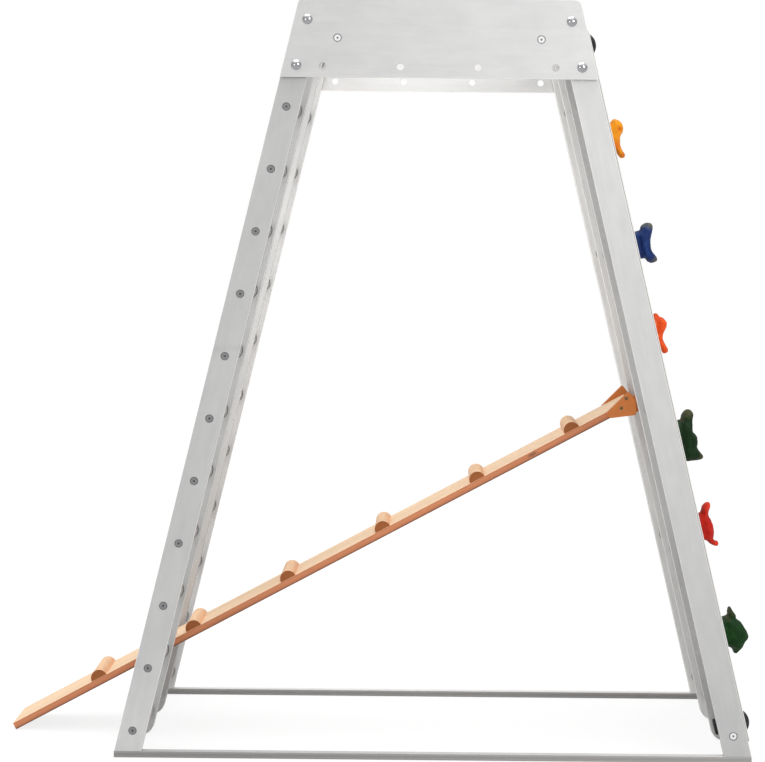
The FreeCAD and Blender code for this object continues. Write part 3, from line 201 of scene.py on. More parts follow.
# ---------------------------------------------------------------------------
# Plywood: a rotary-cut birch face veneer, and its plies on every edge
# ---------------------------------------------------------------------------
def plywood(name, tint, along, across, thick, seed, tone=1.0, ply=0.00145, cloud=1.0,
            band=None, edge_painted_light=1.0, shade=None, sink_shade_rows=None, sink_shade_spots=None):
    """The slow ramp (axis, from, value, to, value) is painted light and shade that brightens or darkens the piece
    along one axis;
    the rows of countersinks (along, across, pitch, count) get rings of painted shade,
    and so do the single countersinks at given (along, across) points."""
    t = Tree(name)
    u, v, w = axes(t, along, across, thick)
    # face veneer: long fine streaks, wide soft figure, small clouds and flecks
    streaks = t.noise(t.combine(t.math("MULTIPLY", u, 5.0), t.math("MULTIPLY", v, 260.0), seed), 1.0, 5.0, 0.62)
    warp = t.noise(t.combine(t.math("MULTIPLY", u, 2.4), t.math("MULTIPLY", v, 16.0), seed + 3.0), 1.0, 2.0, 0.5)
    rings = t.math("SINE", t.math("MULTIPLY_ADD", warp, 46.0, t.math("MULTIPLY", v, 42.0)))
    clouds = t.noise(t.combine(t.math("MULTIPLY", u, 7.0), t.math("MULTIPLY", v, 22.0), seed + 9.0), 1.0, 3.0, 0.55)
    patch = t.noise(t.combine(t.math("MULTIPLY", u, 26.0), t.math("MULTIPLY", v, 34.0), seed + 14.0), 1.0, 2.0, 0.5)
    fleck = t.noise(t.combine(t.math("MULTIPLY", u, 140.0), t.math("MULTIPLY", v, 900.0), seed + 5.0), 1.0, 1.0, 0.4)
    fleck = t.grey(fleck, [(0.0, 1.0), (0.27, 1.0), (0.33, 0.0), (1.0, 0.0)])
    # tiny knots: dark eyes that the veneer flows round
    vor = t.node("ShaderNodeTexVoronoi")
    t.put(vor.inputs["Vector"], t.combine(t.math("MULTIPLY", u, 3.1), t.math("MULTIPLY", v, 7.3), seed * 0.7))
    vor.inputs["Scale"].default_value = 1.0
    eye = t.grey(vor.outputs["Distance"], [(0.0, 1.0), (0.022, 0.75), (0.05, 0.0), (1.0, 0.0)])
    lum = t.math("MULTIPLY_ADD", t.math("SUBTRACT", streaks, 0.5), 0.075, 1.0)
    lum = t.math("MULTIPLY_ADD", rings, 0.012 * cloud, lum)
    lum = t.math("MULTIPLY_ADD", t.math("SUBTRACT", clouds, 0.5), 0.17 * cloud, lum)
    lum = t.math("MULTIPLY_ADD", t.math("SUBTRACT", patch, 0.5), 0.08 * cloud, lum)
    lum = t.math("MULTIPLY_ADD", fleck, -0.045, lum)
    lum = t.math("MULTIPLY_ADD", eye, -0.22, lum)
    if band:                               # a faint scarf joint across the veneer
        d = t.math("ABSOLUTE", t.math("SUBTRACT", t.math("MULTIPLY_ADD", v, band[1], u), band[0]))
        line = t.grey(t.math("MULTIPLY", d, 60.0), [(0.0, 1.0), (0.35, 0.6), (0.7, 0.0), (1.0, 0.0)])
        lum = t.math("MULTIPLY_ADD", line, -0.07, lum)
    # painted light and shade: a slow ramp that brightens or darkens face and edges over the piece
    painted_light_fade = t.span(t.dot(t.position(), shade[0]), *shade[1:]) if shade else 1.0
    lum = t.math("MULTIPLY", lum, painted_light_fade)
    base = t.mix(clouds, (tint[0] * 0.985, tint[1] * 0.99, tint[2], 1), (tint[0], tint[1] * 0.995, tint[2] * 0.985, 1))
    # the tone brightens or darkens the whole piece as painted light
    face = t.node("ShaderNodeVectorMath", operation="SCALE")
    t.put(face.inputs[0], base)
    t.put(face.inputs["Scale"], t.math("MULTIPLY", lum, tone))
    # edges: alternating long-grain and end-grain plies with dark glue lines
    wob = t.noise(t.combine(t.math("MULTIPLY", u, 6.0), t.math("MULTIPLY", v, 6.0), seed), 1.0, 2.0, 0.5)
    layer = t.math("ADD", t.math("DIVIDE", w, ply), t.math("MULTIPLY", t.math("SUBTRACT", wob, 0.5), 0.22))
    saw = t.math("FRACT", layer)
    odd = t.math("GREATER_THAN", t.math("FRACT", t.math("MULTIPLY", layer, 0.5)), 0.5)
    glue = t.grey(saw, [(0.0, 0.0), (0.06, 1.0), (0.94, 1.0), (1.0, 0.0)])
    per = t.noise(t.combine(t.math("FLOOR", layer), seed, 1.0), 3.7, 0.0, 0.5)
    endgrain = t.noise(t.combine(t.math("MULTIPLY", u, 900.0), t.math("MULTIPLY", v, 900.0), t.math("MULTIPLY", w, 900.0)), 1.0, 3.0, 0.7)
    longgrain = t.noise(t.combine(t.math("MULTIPLY", u, 30.0), t.math("MULTIPLY", v, 30.0), t.math("MULTIPLY", w, 2600.0)), 1.0, 2.0, 0.6)
    e = t.math("MULTIPLY_ADD", odd, -0.17, 0.98)
    e = t.math("MULTIPLY_ADD", t.math("SUBTRACT", per, 0.5), 0.10, e)
    g = t.mix(odd, longgrain, endgrain)
    e = t.math("MULTIPLY_ADD", t.math("SUBTRACT", t.xyz(g)[0], 0.5), 0.16, e)
    e = t.math("MULTIPLY", e, t.math("MULTIPLY_ADD", glue, 0.40, 0.60))
    e = t.math("MULTIPLY", e, painted_light_fade)
    # the edge tone brightens or darkens the ply edges as painted light, on top of the piece's tone
    edge = t.node("ShaderNodeVectorMath", operation="SCALE")
    edge.inputs[0].default_value = (tint[0] * 0.97, tint[1] * 0.95, tint[2] * 0.93)
    t.put(edge.inputs["Scale"], t.math("MULTIPLY", e, tone * edge_painted_light))
    # face or edge, by the surface's own direction, with a short blend on the rounding
    facing = t.math("ABSOLUTE", t.dot(t.normal(), thick))
    isface = t.grey(facing, [(0.0, 0.0), (0.80, 0.0), (0.90, 1.0), (1.0, 1.0)])
    col = t.mix(isface, edge.outputs[0], face.outputs[0])
    # painted highlight along the sanded rounding of every edge
    arris_highlight = t.grey(facing, [(0.0, 0.0), (0.22, 0.0), (0.36, 1.0), (0.80, 1.0), (0.93, 0.0), (1.0, 0.0)])
    highlight_and_rim_shade = t.math("MULTIPLY_ADD", arris_highlight, 0.55, 1.0)
    # painted shade in rings round the countersinks
    shade_rings = []
    if sink_shade_rows:
        u0, v0, pitch, count = sink_shade_rows
        k = t.math("ROUND", t.math("DIVIDE", t.math("SUBTRACT", u, u0), pitch))
        k = t.math("MINIMUM", t.math("MAXIMUM", k, 0.0), count - 1.0)
        shade_rings.append((t.math("SUBTRACT", u, t.math("MULTIPLY_ADD", k, pitch, u0)), t.math("SUBTRACT", v, v0)))
    for u1, v1 in sink_shade_spots or ():
        shade_rings.append((t.math("SUBTRACT", u, u1), t.math("SUBTRACT", v, v1)))
    for du, dv in shade_rings:
        r = t.math("SQRT", t.math("ADD", t.math("MULTIPLY", du, du), t.math("MULTIPLY", dv, dv)))
        rim = t.grey(t.math("MULTIPLY", r, 50.0), [(0.0, 0.72), (0.485, 0.72), (0.52, 0.0), (1.0, 0.0)])
        highlight_and_rim_shade = t.math("MULTIPLY", highlight_and_rim_shade, t.math("MULTIPLY_ADD", rim, -1.0, 1.0))
    grown = t.node("ShaderNodeVectorMath", operation="SCALE")
    t.put(grown.inputs[0], col)
    t.put(grown.inputs["Scale"], highlight_and_rim_shade)
    # painted shade in countersinks and joints, from an occlusion node
    col = t.crevice_shade(grown.outputs[0], 0.007)
    # lacquer: satin, a little rougher on the end grain
    rough = t.math("MULTIPLY_ADD", isface, -0.10, 0.56)
    rough = t.math("MULTIPLY_ADD", t.math("SUBTRACT", streaks, 0.5), 0.10, rough)
    h = t.mix(isface, t.math("ADD", t.math("MULTIPLY", glue, 0.5), t.math("MULTIPLY", t.xyz(g)[0], 0.4)), streaks)
    nrm = t.bump(t.xyz(h)[0], 0.12, 0.0006)
    return t.finish(col, rough, nrm, coat=0.12, spec=0.4)


LEG_A = (ST, 0.0, CT)        # up along the ladder leg (leans towards +X)
LEG_B = (-ST, 0.0, CT)       # up along the wall leg (leans towards -X)
OUT_A = (-CT, 0.0, ST)
OUT_B = (CT, 0.0, ST)
Y = (0.0, 1.0, 0.0)
X = (1.0, 0.0, 0.0)
Z = (0.0, 0.0, 1.0)
GREY = (0.600, 0.600, 0.594)


def assign(node, mat):
    o = nodes[node]
    if not o.data.materials:
        o.data.materials.append(mat)
    for i in range(len(o.data.materials)):
        o.data.materials[i] = mat


ORG = 0.754 + math.tan(LEAN) * 0.015 - 0.063 / CT      # leg origin from the middle of the base


def leg_uv(z, side):
    """(along, across) of the upright's middle line at height z."""
    ell = (z - 0.0315 * ST) / CT
    off = CX if side > 0 else -CX
    return ell - ST * (ORG + off), CT * (ORG + off) + 0.0315


lad_lo, lad_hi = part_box("ladder_rung_bottom")
Z0 = 0.5 * (lad_lo[2] + lad_hi[2])
bay_lo, bay_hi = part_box("ladder_rungs_near_bay")
Z10 = bay_hi[2] - 0.5 * (lad_hi[2] - lad_lo[2])
RUNGS = leg_uv(Z0, -1) + ((Z10 - Z0) / 10.0 / CT, 11)

# painted light and shade of each upright: a face tone and an edge tone that make it brighter or darker than its
# neighbours, and a slow ramp over its height
PAINTED_LIGHT_TONES = {
    "ladder_upright_near": (0.745, 1.20, (Z, 0.06, 1.16, 0.30, 1.0)),
    "ladder_upright_inner_near": (0.86, 1.30, (Z, 0.40, 0.86, 1.40, 1.06)),
    "ladder_upright_inner_far": (1.28, 1.12, (Z, 0.45, 0.62, 1.30, 0.90)),
    "ladder_upright_far": (1.42, 1.06, (Z, 0.50, 0.70, 1.30, 0.93)),
    "wall_upright_near": (0.985, 1.10, (Z, 0.10, 0.75, 1.50, 1.0)),
    "wall_upright_inner_near": (0.93, 1.30, (Z, 0.10, 0.82, 0.80, 1.0)),
    "wall_upright_inner_far": (1.36, 1.08, (Z, 0.50, 0.86, 1.20, 1.0)),
    "wall_upright_far": (1.46, 1.02, (Z, 0.15, 0.84, 0.90, 1.0)),
}
for i, (n, (tone, painted_edge_light, shade)) in enumerate(PAINTED_LIGHT_TONES.items()):
    left = n.startswith("ladder")
    outer = n.endswith(("upright_near", "upright_far"))
    band = (1.06, 0.35) if n == "ladder_upright_near" else None
    # the outer uprights' countersinks at the rungs and at the bottom crossbar get painted shade rings
    assign(n, plywood("birch_" + n, GREY, LEG_A if left else LEG_B, OUT_A if left else OUT_B, Y,
                      11.3 + 7.7 * i, tone, band=band, edge_painted_light=painted_edge_light, shade=shade,
                      sink_shade_rows=RUNGS if left and outer else None,
                      sink_shade_spots=[leg_uv(Z0, 1)] if outer and not left else None))
# the runners get painted light too: a brighter far runner, painted shade on their sides and a ramp across the near one
assign("floor_runner_near", plywood("birch_runner_near", GREY, X, Y, Z, 3.1, 1.05, ply=0.0048, edge_painted_light=0.50,
                                    shade=(X, CX - 0.5, 0.90, CX + 0.7, 1.20)))
assign("floor_runner_far", plywood("birch_runner_far", GREY, X, Y, Z, 8.1, 1.45, ply=0.0048, edge_painted_light=0.39))
# the panels' tone values, edge tone values and ramps across them are painted light and shade as well
PANEL_SHADE = (X, CX - 0.34, 0.86, CX + 0.36, 1.02)
# the panels' countersinks at the top crossbars get the same painted shade rings
bar_lo, bar_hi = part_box("top_crossbar_left")
rbar_lo, rbar_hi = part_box("top_crossbar_right")
BARS = [(0.5 * (a[0] + b[0]), 0.5 * (a[2] + b[2])) for a, b in ((bar_lo, bar_hi), (rbar_lo, rbar_hi))]
assign("top_panel_near", plywood("birch_panel_near", GREY, X, Z, Y, 21.0, 1.01, cloud=1.0, edge_painted_light=1.1,
                                 shade=PANEL_SHADE, sink_shade_spots=BARS))
assign("top_panel_far", plywood("birch_panel_far", GREY, X, Z, Y, 27.0, 1.36, cloud=0.7, edge_painted_light=1.0,
                                shade=(X, CX - 0.30, 1.12, CX + 0.2, 1.06), sink_shade_spots=BARS))
assign("climbing_wall_panel", plywood("birch_wall", GREY, LEG_B, Y, OUT_B, 33.0, 1.0, edge_painted_light=1.05))


# ---------------------------------------------------------------------------
# Round beech rungs
# ---------------------------------------------------------------------------
def turned(name, tint, seed):
    t = Tree(name)
    p = t.xyz(t.position())
    long = t.noise(t.combine(t.math("MULTIPLY", p[0], 190.0), t.math("MULTIPLY", p[1], 6.0), t.math("MULTIPLY", p[2], 190.0)), 1.0, 4.0, 0.6)
    rays = t.noise(t.combine(t.math("MULTIPLY", p[0], 520.0), t.math("MULTIPLY", p[1], 90.0), t.math("MULTIPLY", p[2], 520.0)), 1.0, 2.0, 0.5)
    rays = t.grey(rays, [(0.0, 1.0), (0.30, 1.0), (0.37, 0.0), (1.0, 0.0)])
    big = t.noise(t.combine(t.math("MULTIPLY", p[0], 9.0), t.math("MULTIPLY", p[1], 1.5), t.math("MULTIPLY", p[2], 9.0)), seed * 0.1 + 1.0, 2.0, 0.5)
    lum = t.math("MULTIPLY_ADD", t.math("SUBTRACT", long, 0.5), 0.16, 1.0)
    lum = t.math("MULTIPLY_ADD", rays, -0.07, lum)
    lum = t.math("MULTIPLY_ADD", t.math("SUBTRACT", big, 0.5), 0.16, lum)
    sc = t.node("ShaderNodeVectorMath", operation="SCALE")
    sc.inputs[0].default_value = tint[:3]
    t.put(sc.inputs["Scale"], lum)
    rough = t.math("MULTIPLY_ADD", long, 0.12, 0.40)
    return t.finish(sc.outputs[0], rough, t.bump(long, 0.10, 0.0004), coat=0.15)


# the rungs get a darker tint than the crossbars as painted shade, so that they read as shaded between the uprights
rung = turned("rung_beech_shaded", (0.41, 0.40, 0.385), 2.0)
bar = turned("crossbar_beech", (0.52, 0.51, 0.49), 6.0)
for n in nodes:
    if n.startswith("ladder_rung"):
        assign(n, rung)
    if n.startswith(("wall_crossbar", "top_crossbar")):
        assign(n, bar)


# ---------------------------------------------------------------------------
# Ramp: steamed beech, with painted light on its tread and painted shade on its edges, dark end grain
# ---------------------------------------------------------------------------
R_AL = (math.cos(RAMP), 0.0, math.sin(RAMP))
R_UP = (-math.sin(RAMP), 0.0, math.cos(RAMP))


def beech(name, along, across, thick, seed, top, side, end=None, end_axis=None, knot=None, board=None):
    t = Tree(name)
    u, v, w = axes(t, along, across, thick)
    grain = t.noise(t.combine(t.math("MULTIPLY", u, 9.0), t.math("MULTIPLY", v, 210.0), t.math("MULTIPLY", w, 210.0)), 1.0, 5.0, 0.6, 0.2)
    wide = t.noise(t.combine(t.math("MULTIPLY", u, 2.2), t.math("MULTIPLY", v, 26.0), t.math("MULTIPLY_ADD", w, 26.0, seed)), 1.0, 3.0, 0.55)
    rays = t.noise(t.combine(t.math("MULTIPLY", u, 120.0), t.math("MULTIPLY", v, 700.0), t.math("MULTIPLY", w, 700.0)), 1.0, 1.0, 0.5)
    rays = t.grey(rays, [(0.0, 1.0), (0.29, 1.0), (0.36, 0.0), (1.0, 0.0)])
    staves = t.math("FLOOR", t.math("DIVIDE", v, 0.038))
    tone = t.noise(t.combine(staves, seed, 0.3), 2.3, 0.0, 0.5)
    lum = t.math("MULTIPLY_ADD", t.math("SUBTRACT", grain, 0.5), 0.30, 1.0)
    lum = t.math("MULTIPLY_ADD", t.math("SUBTRACT", wide, 0.5), 0.34, lum)
    lum = t.math("MULTIPLY_ADD", rays, -0.10, lum)
    lum = t.math("MULTIPLY_ADD", t.math("SUBTRACT", tone, 0.5), 0.10, lum)
    # painted light: faces turned up take the lighter top colour, the sides the darker side colour
    nz = t.dot(t.normal(), thick)
    lit_top = t.grey(nz, [(0.0, 0.0), (0.35, 0.0), (0.85, 1.0), (1.0, 1.0)])
    col = t.mix(lit_top, side, top)
    if board is not None:
        # sawn edge of the board: painted shade along its lower edge, a painted lighter band above it and a slightly
        # darker top edge
        k = t.math("DIVIDE", t.math("SUBTRACT", w, board), 0.018)
        wav = t.noise(t.combine(t.math("MULTIPLY", u, 14.0), 0.0, seed), 1.0, 2.0, 0.5)
        k = t.math("MULTIPLY_ADD", t.math("SUBTRACT", wav, 0.5), 0.10, k)
        line = t.grey(k, [(0.0, 0.42), (0.13, 0.50), (0.24, 0.98), (0.62, 1.18), (0.86, 1.04), (1.0, 0.84)])
        line = t.mix(lit_top, line, (1.0, 1.0, 1.0, 1.0))
        col = t.mix(1.0, col, line, "MULTIPLY")
    if end is not None:
        ne = t.math("ABSOLUTE", t.dot(t.normal(), end_axis))
        isend = t.grey(ne, [(0.0, 0.0), (0.75, 0.0), (0.9, 1.0), (1.0, 1.0)])
        pores = t.noise(t.combine(t.math("MULTIPLY", u, 1300.0), t.math("MULTIPLY", v, 1300.0), t.math("MULTIPLY", w, 1300.0)), 1.0, 3.0, 0.7)
        rings = t.math("SINE", t.math("MULTIPLY", t.math("ADD", t.math("MULTIPLY", u, 0.4), w), 2600.0))
        endlum = t.math("MULTIPLY_ADD", rings, 0.07, t.math("MULTIPLY_ADD", t.math("SUBTRACT", pores, 0.5), 0.5, 1.0))
        sc = t.node("ShaderNodeVectorMath", operation="SCALE")
        sc.inputs[0].default_value = end[:3]
        t.put(sc.inputs["Scale"], endlum)
        body = t.node("ShaderNodeVectorMath", operation="SCALE")
        t.put(body.inputs[0], col)
        t.put(body.inputs["Scale"], lum)
        out = t.mix(isend, body.outputs[0], sc.outputs[0])
    else:
        body = t.node("ShaderNodeVectorMath", operation="SCALE")
        t.put(body.inputs[0], col)
        t.put(body.inputs["Scale"], lum)
        out = body.outputs[0]
    if knot is not None:
        p = t.position()
        d = t.node("ShaderNodeVectorMath", operation="SUBTRACT")
        t.put(d.inputs[0], p)
        d.inputs[1].default_value = knot
        du = t.math("MULTIPLY", t.dot(d.outputs[0], along), 60.0)
        dw = t.math("MULTIPLY", t.dot(d.outputs[0], thick), 190.0)
        dv = t.math("MULTIPLY", t.dot(d.outputs[0], across), 90.0)
        r = t.math("SQRT", t.math("ADD", t.math("ADD", t.math("MULTIPLY", du, du), t.math("MULTIPLY", dw, dw)), t.math("MULTIPLY", dv, dv)))
        k = t.grey(r, [(0.0, 0.75), (0.5, 0.6), (1.0, 0.0)])
        out = t.mix(k, out, (0.16, 0.07, 0.03, 1.0))
    rough = t.math("MULTIPLY_ADD", grain, 0.14, 0.42)
    return t.finish(out, rough, t.bump(grain, 0.15, 0.0005), coat=0.10, spec=0.4)


# tread colour with painted light, side colour with painted shade; the end grain is the wood's own darker colour
TOP_LIT = srgb(252, 218, 180)
SIDE_SHADED = srgb(190, 119, 80)
END = srgb(153, 84, 30)
lo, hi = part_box("ramp_board")
foot_x = lo[0] + 0.018 * math.sin(RAMP)          # lower corner of the board's foot
under = -math.sin(RAMP) * foot_x


def on_ramp(s_, n_, y_):
    return (foot_x + s_ * math.cos(RAMP) - n_ * math.sin(RAMP), y_, s_ * math.sin(RAMP) + n_ * math.cos(RAMP))


assign("ramp_board", beech("beech_board", R_AL, Y, R_UP, 3.0, TOP_LIT, SIDE_SHADED, board=under,
                           knot=on_ramp(1.452, 0.010, -0.095)))
# the cleats' tops and sides get the same painted light and shade, more gently
for k in range(1, 7):
    assign("ramp_cleat_%d" % k, beech("beech_cleat_%d" % k, Y, R_AL, R_UP, 5.0 + 3 * k,
                                       srgb(247, 204, 162), srgb(236, 182, 138), END, Y))
for n in ("ramp_ear_near", "ramp_ear_far", "ramp_hook_near", "ramp_hook_far"):
    assign(n, beech("beech_" + n, R_AL, R_UP, Y, 31.0, srgb(208, 120, 56), srgb(210, 122, 56)))


# ---------------------------------------------------------------------------
# Metal and plastic
# ---------------------------------------------------------------------------
def metal(name, tint, rough, scratch=0.10, bump=0.05, recess_shade=None, metallic=1.0):
    t = Tree(name)
    p = t.position()
    a = t.noise(p, 900.0, 3.0, 0.6)
    b = t.noise(p, 120.0, 2.0, 0.5)
    lum = t.math("MULTIPLY_ADD", t.math("SUBTRACT", b, 0.5), 0.25, 1.0)
    sc = t.node("ShaderNodeVectorMath", operation="SCALE")
    sc.inputs[0].default_value = tint[:3]
    t.put(sc.inputs["Scale"], lum)
    # an optional painted shade in the screw heads' sockets, from an occlusion node
    col = sc.outputs[0] if recess_shade is None else t.crevice_shade(sc.outputs[0], 0.004, recess_shade)
    return t.finish(col, t.math("MULTIPLY_ADD", a, scratch, rough), t.bump(a, bump, 0.0002), metallic=metallic)


screws = metal("zinc_screw", (0.66, 0.66, 0.66), 0.38, recess_shade=0.12)
small = metal("zinc_small_screw", (0.50, 0.34, 0.17), 0.50, recess_shade=0.45)
bright = metal("bright_screw", (0.93, 0.93, 0.94), 0.42, recess_shade=0.10, metallic=0.35)
bolts = metal("bright_bolt", (0.87, 0.87, 0.88), 0.11, 0.06, 0.02, metallic=0.92)
assign("rung_screws", screws)
assign("crossbar_screws", bright)
for n in ("runner_screws", "ramp_cleat_screws", "ramp_ear_screws"):
    assign(n, small)
for n in ("panel_carriage_bolts", "panel_bolt_nuts", "hold_bolts", "hold_tnuts"):
    assign(n, bolts)


def plastic(name, tint, rough, grit):
    t = Tree(name)
    p = t.position()
    fine = t.noise(p, 1400.0, 2.0, 0.6)
    wide = t.noise(p, 60.0, 2.0, 0.5)
    lum = t.math("MULTIPLY_ADD", t.math("SUBTRACT", wide, 0.5), 0.5, 1.0)
    sc = t.node("ShaderNodeVectorMath", operation="SCALE")
    sc.inputs[0].default_value = tint[:3]
    t.put(sc.inputs["Scale"], lum)
    return t.finish(sc.outputs[0], t.math("MULTIPLY_ADD", wide, 0.12, rough), t.bump(fine, grit, 0.0003))


black = plastic("black_moulding", (0.018, 0.018, 0.020), 0.40, 0.25)
for n in nodes:
    if n.startswith("clamp_knob") or n == "wall_clamp_bolts":
        assign(n, black)


def resin(name, main, vein, lobe, grit=0.5, seed=0.0, veins=0.5):
    """Cast resin: fine sandy grit, marbled veins and rubbed, tinted lobes."""
    t = Tree(name)
    p = t.position()
    fine = t.noise(p, 1500.0, 4.0, 0.7)
    mid = t.noise(p, 260.0, 3.0, 0.6)
    wide = t.noise(p, 38.0, 2.0, 0.5)
    lum = t.math("MULTIPLY_ADD", t.math("SUBTRACT", fine, 0.5), 0.22, 1.0)
    lum = t.math("MULTIPLY_ADD", t.math("SUBTRACT", mid, 0.5), 0.14, lum)
    lum = t.math("MULTIPLY_ADD", t.math("SUBTRACT", wide, 0.5), 0.30, lum)
    w = t.node("ShaderNodeTexWave")
    w.inputs["Scale"].default_value = 9.0
    w.inputs["Distortion"].default_value = 14.0
    w.inputs["Detail"].default_value = 3.0
    w.inputs["Detail Scale"].default_value = 2.0
    off = t.node("ShaderNodeVectorMath", operation="ADD")
    t.put(off.inputs[0], p)
    off.inputs[1].default_value = (seed, seed * 0.7, seed * 0.3)
    t.put(w.inputs["Vector"], off.outputs[0])
    f = t.grey(w.outputs["Fac"], [(0.0, 0.0), (0.45, 0.0), (0.8, veins), (1.0, veins)])
    col = t.mix(f, main, vein)
    a = t.node("ShaderNodeAttribute", attribute_type="GEOMETRY")
    a.attribute_name = "lobe"
    k = t.math("MULTIPLY_ADD", t.math("SUBTRACT", mid, 0.5), 0.5, a.outputs["Fac"], clamp=True)
    col = t.mix(k, col, lobe)
    sc = t.node("ShaderNodeVectorMath", operation="SCALE")
    t.put(sc.inputs[0], col)
    t.put(sc.inputs["Scale"], lum)
    h = t.math("ADD", t.math("MULTIPLY", fine, 0.6), t.math("MULTIPLY", mid, 0.7))
    # painted shade in the dents and the bore, from an occlusion node
    return t.finish(t.crevice_shade(sc.outputs[0], 0.006, 0.5), t.math("MULTIPLY_ADD", fine, 0.16, 0.42),
                    t.bump(h, grit, 0.0007), spec=0.22)


# silhouettes across the wall, in millimetres: out from the wall, up the wall
OUTLINES = {
    "hold_yellow": [(0, 27), (8, 29), (17.5, 35), (26, 33.7), (34, 26), (38, 13.7), (35, 1),
                    (28, -7.5), (24, -17.5), (22, -30), (24, -42.5), (27.5, -53.7),
                    (24.5, -60), (17.5, -61), (12.5, -57.5), (7, -45), (0, -40)],
    "hold_blue": [(0, 4), (20, 3), (25, 11), (32.5, 16), (42.5, 17.5), (51, 14.5), (54.5, 7.5),
                  (52.5, -2.5), (46, -16), (41, -30), (39, -44), (41, -56), (47.5, -70),
                  (45, -79), (32.5, -81), (25, -77.5), (20, -71), (16, -66), (0, -66)],
    "hold_orange": [(0, 34), (4, 36), (9, 41), (14, 43), (19, 39), (22, 32.5), (29, 29),
                    (34, 21), (36, 14), (33, 4), (26, -5), (21, -12.5), (19, -22.5),
                    (21, -35), (25, -47.5), (24, -55), (16, -58), (10, -55), (6, -42.5), (0, -36)],
    "hold_dark_green": [(0, 24), (15, 22.5), (21, 32.5), (30, 40.5), (40, 42), (47.5, 36),
                        (50, 27.5), (46, 17.5), (42.5, 5), (39.5, -12.5), (45, -22.5),
                        (47, -30), (45, -42.5), (42, -55), (46, -65), (51, -75), (50, -81),
                        (42, -84), (27, -83), (0, -80)],
    "hold_red": [(0, 34), (12.5, 36), (20, 49), (29, 55.5), (37.5, 56), (42, 51), (40, 42.5),
                 (34, 32.5), (32, 22.5), (36, 10), (37.5, -1), (35.5, -20), (31, -35),
                 (39, -41), (40.5, -46), (37.5, -52), (29, -50.5), (20, -44), (12.5, -34), (0, -31)],
    "hold_green": [(0, 22.5), (20, 21), (24, 31), (29, 39.5), (34, 39.5), (38, 30), (43, 17.5),
                   (42, 10), (50, 0), (56, -12.5), (61, -31), (59, -41), (50, -49), (42.5, -59),
                   (31, -69), (22.5, -73), (17, -69), (15, -59), (7.5, -52.5), (0, -52)],
    "hold_far": [(0, 36), (9, 37), (18, 34), (26, 27), (31, 16), (32, 2), (30, -12),
                 (25, -24), (18, -33), (9, -38), (0, -38)],
}
# name: steps up the wall, bolt height within the outline, width, side, base narrowing,
# dents (out, up, depth, radius), lobes that take the third colour (out, up, radius),
# main, vein and lobe colours, record slot
HOLDS = {
    "hold_green": (0, -15.0, 84.0, -1, 0.86, [(30, 15, 5, 6), (46, -36, 4, 8), (26, -60, 4, 6)],
                   [(31, 36, 17), (20, 18, 8)], (11, 55, 14), (24, 70, 22), (46, 56, 16), "resin_dark_green"),
    "hold_red": (1, 1.0, 70.0, -1, 0.92, [(20, 30, 3, 6), (24, 2, 3, 8), (26, -38, 3, 5)],
                 [(36, 52, 15), (38, -48, 12)], (188, 24, 2), (166, 14, 1), (216, 50, 22), "resin_red"),
    "hold_dark_green": (2, -30.0, 86.0, -1, 0.88, [(30, 14, 5, 8), (42, -50, 5, 7), (20, -30, 3, 12)],
                        [(38, 40, 17), (18, 25, 7), (50, -78, 13)], (12, 44, 14), (24, 60, 24), (66, 66, 34),
                        "resin_marbled_green"),
    "hold_orange": (3, 0.0, 52.0, -1, 0.90, [(25, 8, 6, 5), (17, -30, 2, 6)],
                    [(2, 20, 8), (2, -10, 6)], (228, 79, 8), (212, 58, 4), (246, 150, 96), "resin_orange"),
    "hold_blue": (4, -31.0, 76.0, -1, 0.74, [(30, -28, 3, 8), (20, -2, 4, 5)],
                  [(50, 12, 13), (32, 16, 8), (44, -78, 12), (10, 3, 4)], (14, 42, 98), (24, 62, 128),
                  (88, 88, 80), "resin_blue"),
    "hold_yellow": (5, -7.0, 56.0, -1, 0.92, [(27, 9, 6, 5), (14, -20, 3, 8)],
                    [(6, -30, 16), (24, -55, 9), (27, 9, 6)], (236, 150, 14), (230, 138, 8), (214, 108, 4), "resin_yellow"),
    "hold_far_red": (0.35, 0.0, 60.0, 1, 0.95, [(26, -14, 4, 9)], [(20, 30, 9)],
                     (188, 24, 2), (166, 14, 1), (216, 50, 22), "resin_red"),
    "hold_far_yellow": (1.7, 0.0, 54.0, 1, 0.95, [(26, 20, 4, 9)], [(14, -30, 9)],
                        (236, 150, 14), (230, 138, 8), (214, 108, 4), "resin_yellow"),
    "hold_far_blue": (2.75, 0.0, 60.0, 1, 0.95, [(22, -20, 4, 9)], [(24, 24, 9)],
                      (14, 42, 98), (24, 62, 128), (88, 88, 80), "resin_blue"),
    "hold_far_orange": (3.55, 0.0, 52.0, 1, 0.95, [(28, 6, 4, 9)], [(10, 30, 9)],
                        (228, 79, 8), (212, 58, 4), (246, 150, 96), "resin_orange"),
}


def curve_through(pts, steps=7):
    """Smooth outline through the points, ends kept on the wall."""
    p = [np.array(pts[0], float)] + [np.array(q, float) for q in pts] + [np.array(pts[-1], float)]
    out = []
    for i in range(1, len(p) - 2):
        a, b, c, d = p[i - 1], p[i], p[i + 1], p[i + 2]
        for k in range(steps):
            u = k / steps
            out.append(0.5 * ((2 * b) + (c - a) * u + (2 * a - 5 * b + 4 * c - d) * u * u
                              + (3 * b - a - 3 * c + d) * u ** 3))
    out.append(p[-2])
    out = np.array(out)
    out[:, 0] = np.maximum(out[:, 0], 0.0)
    return out


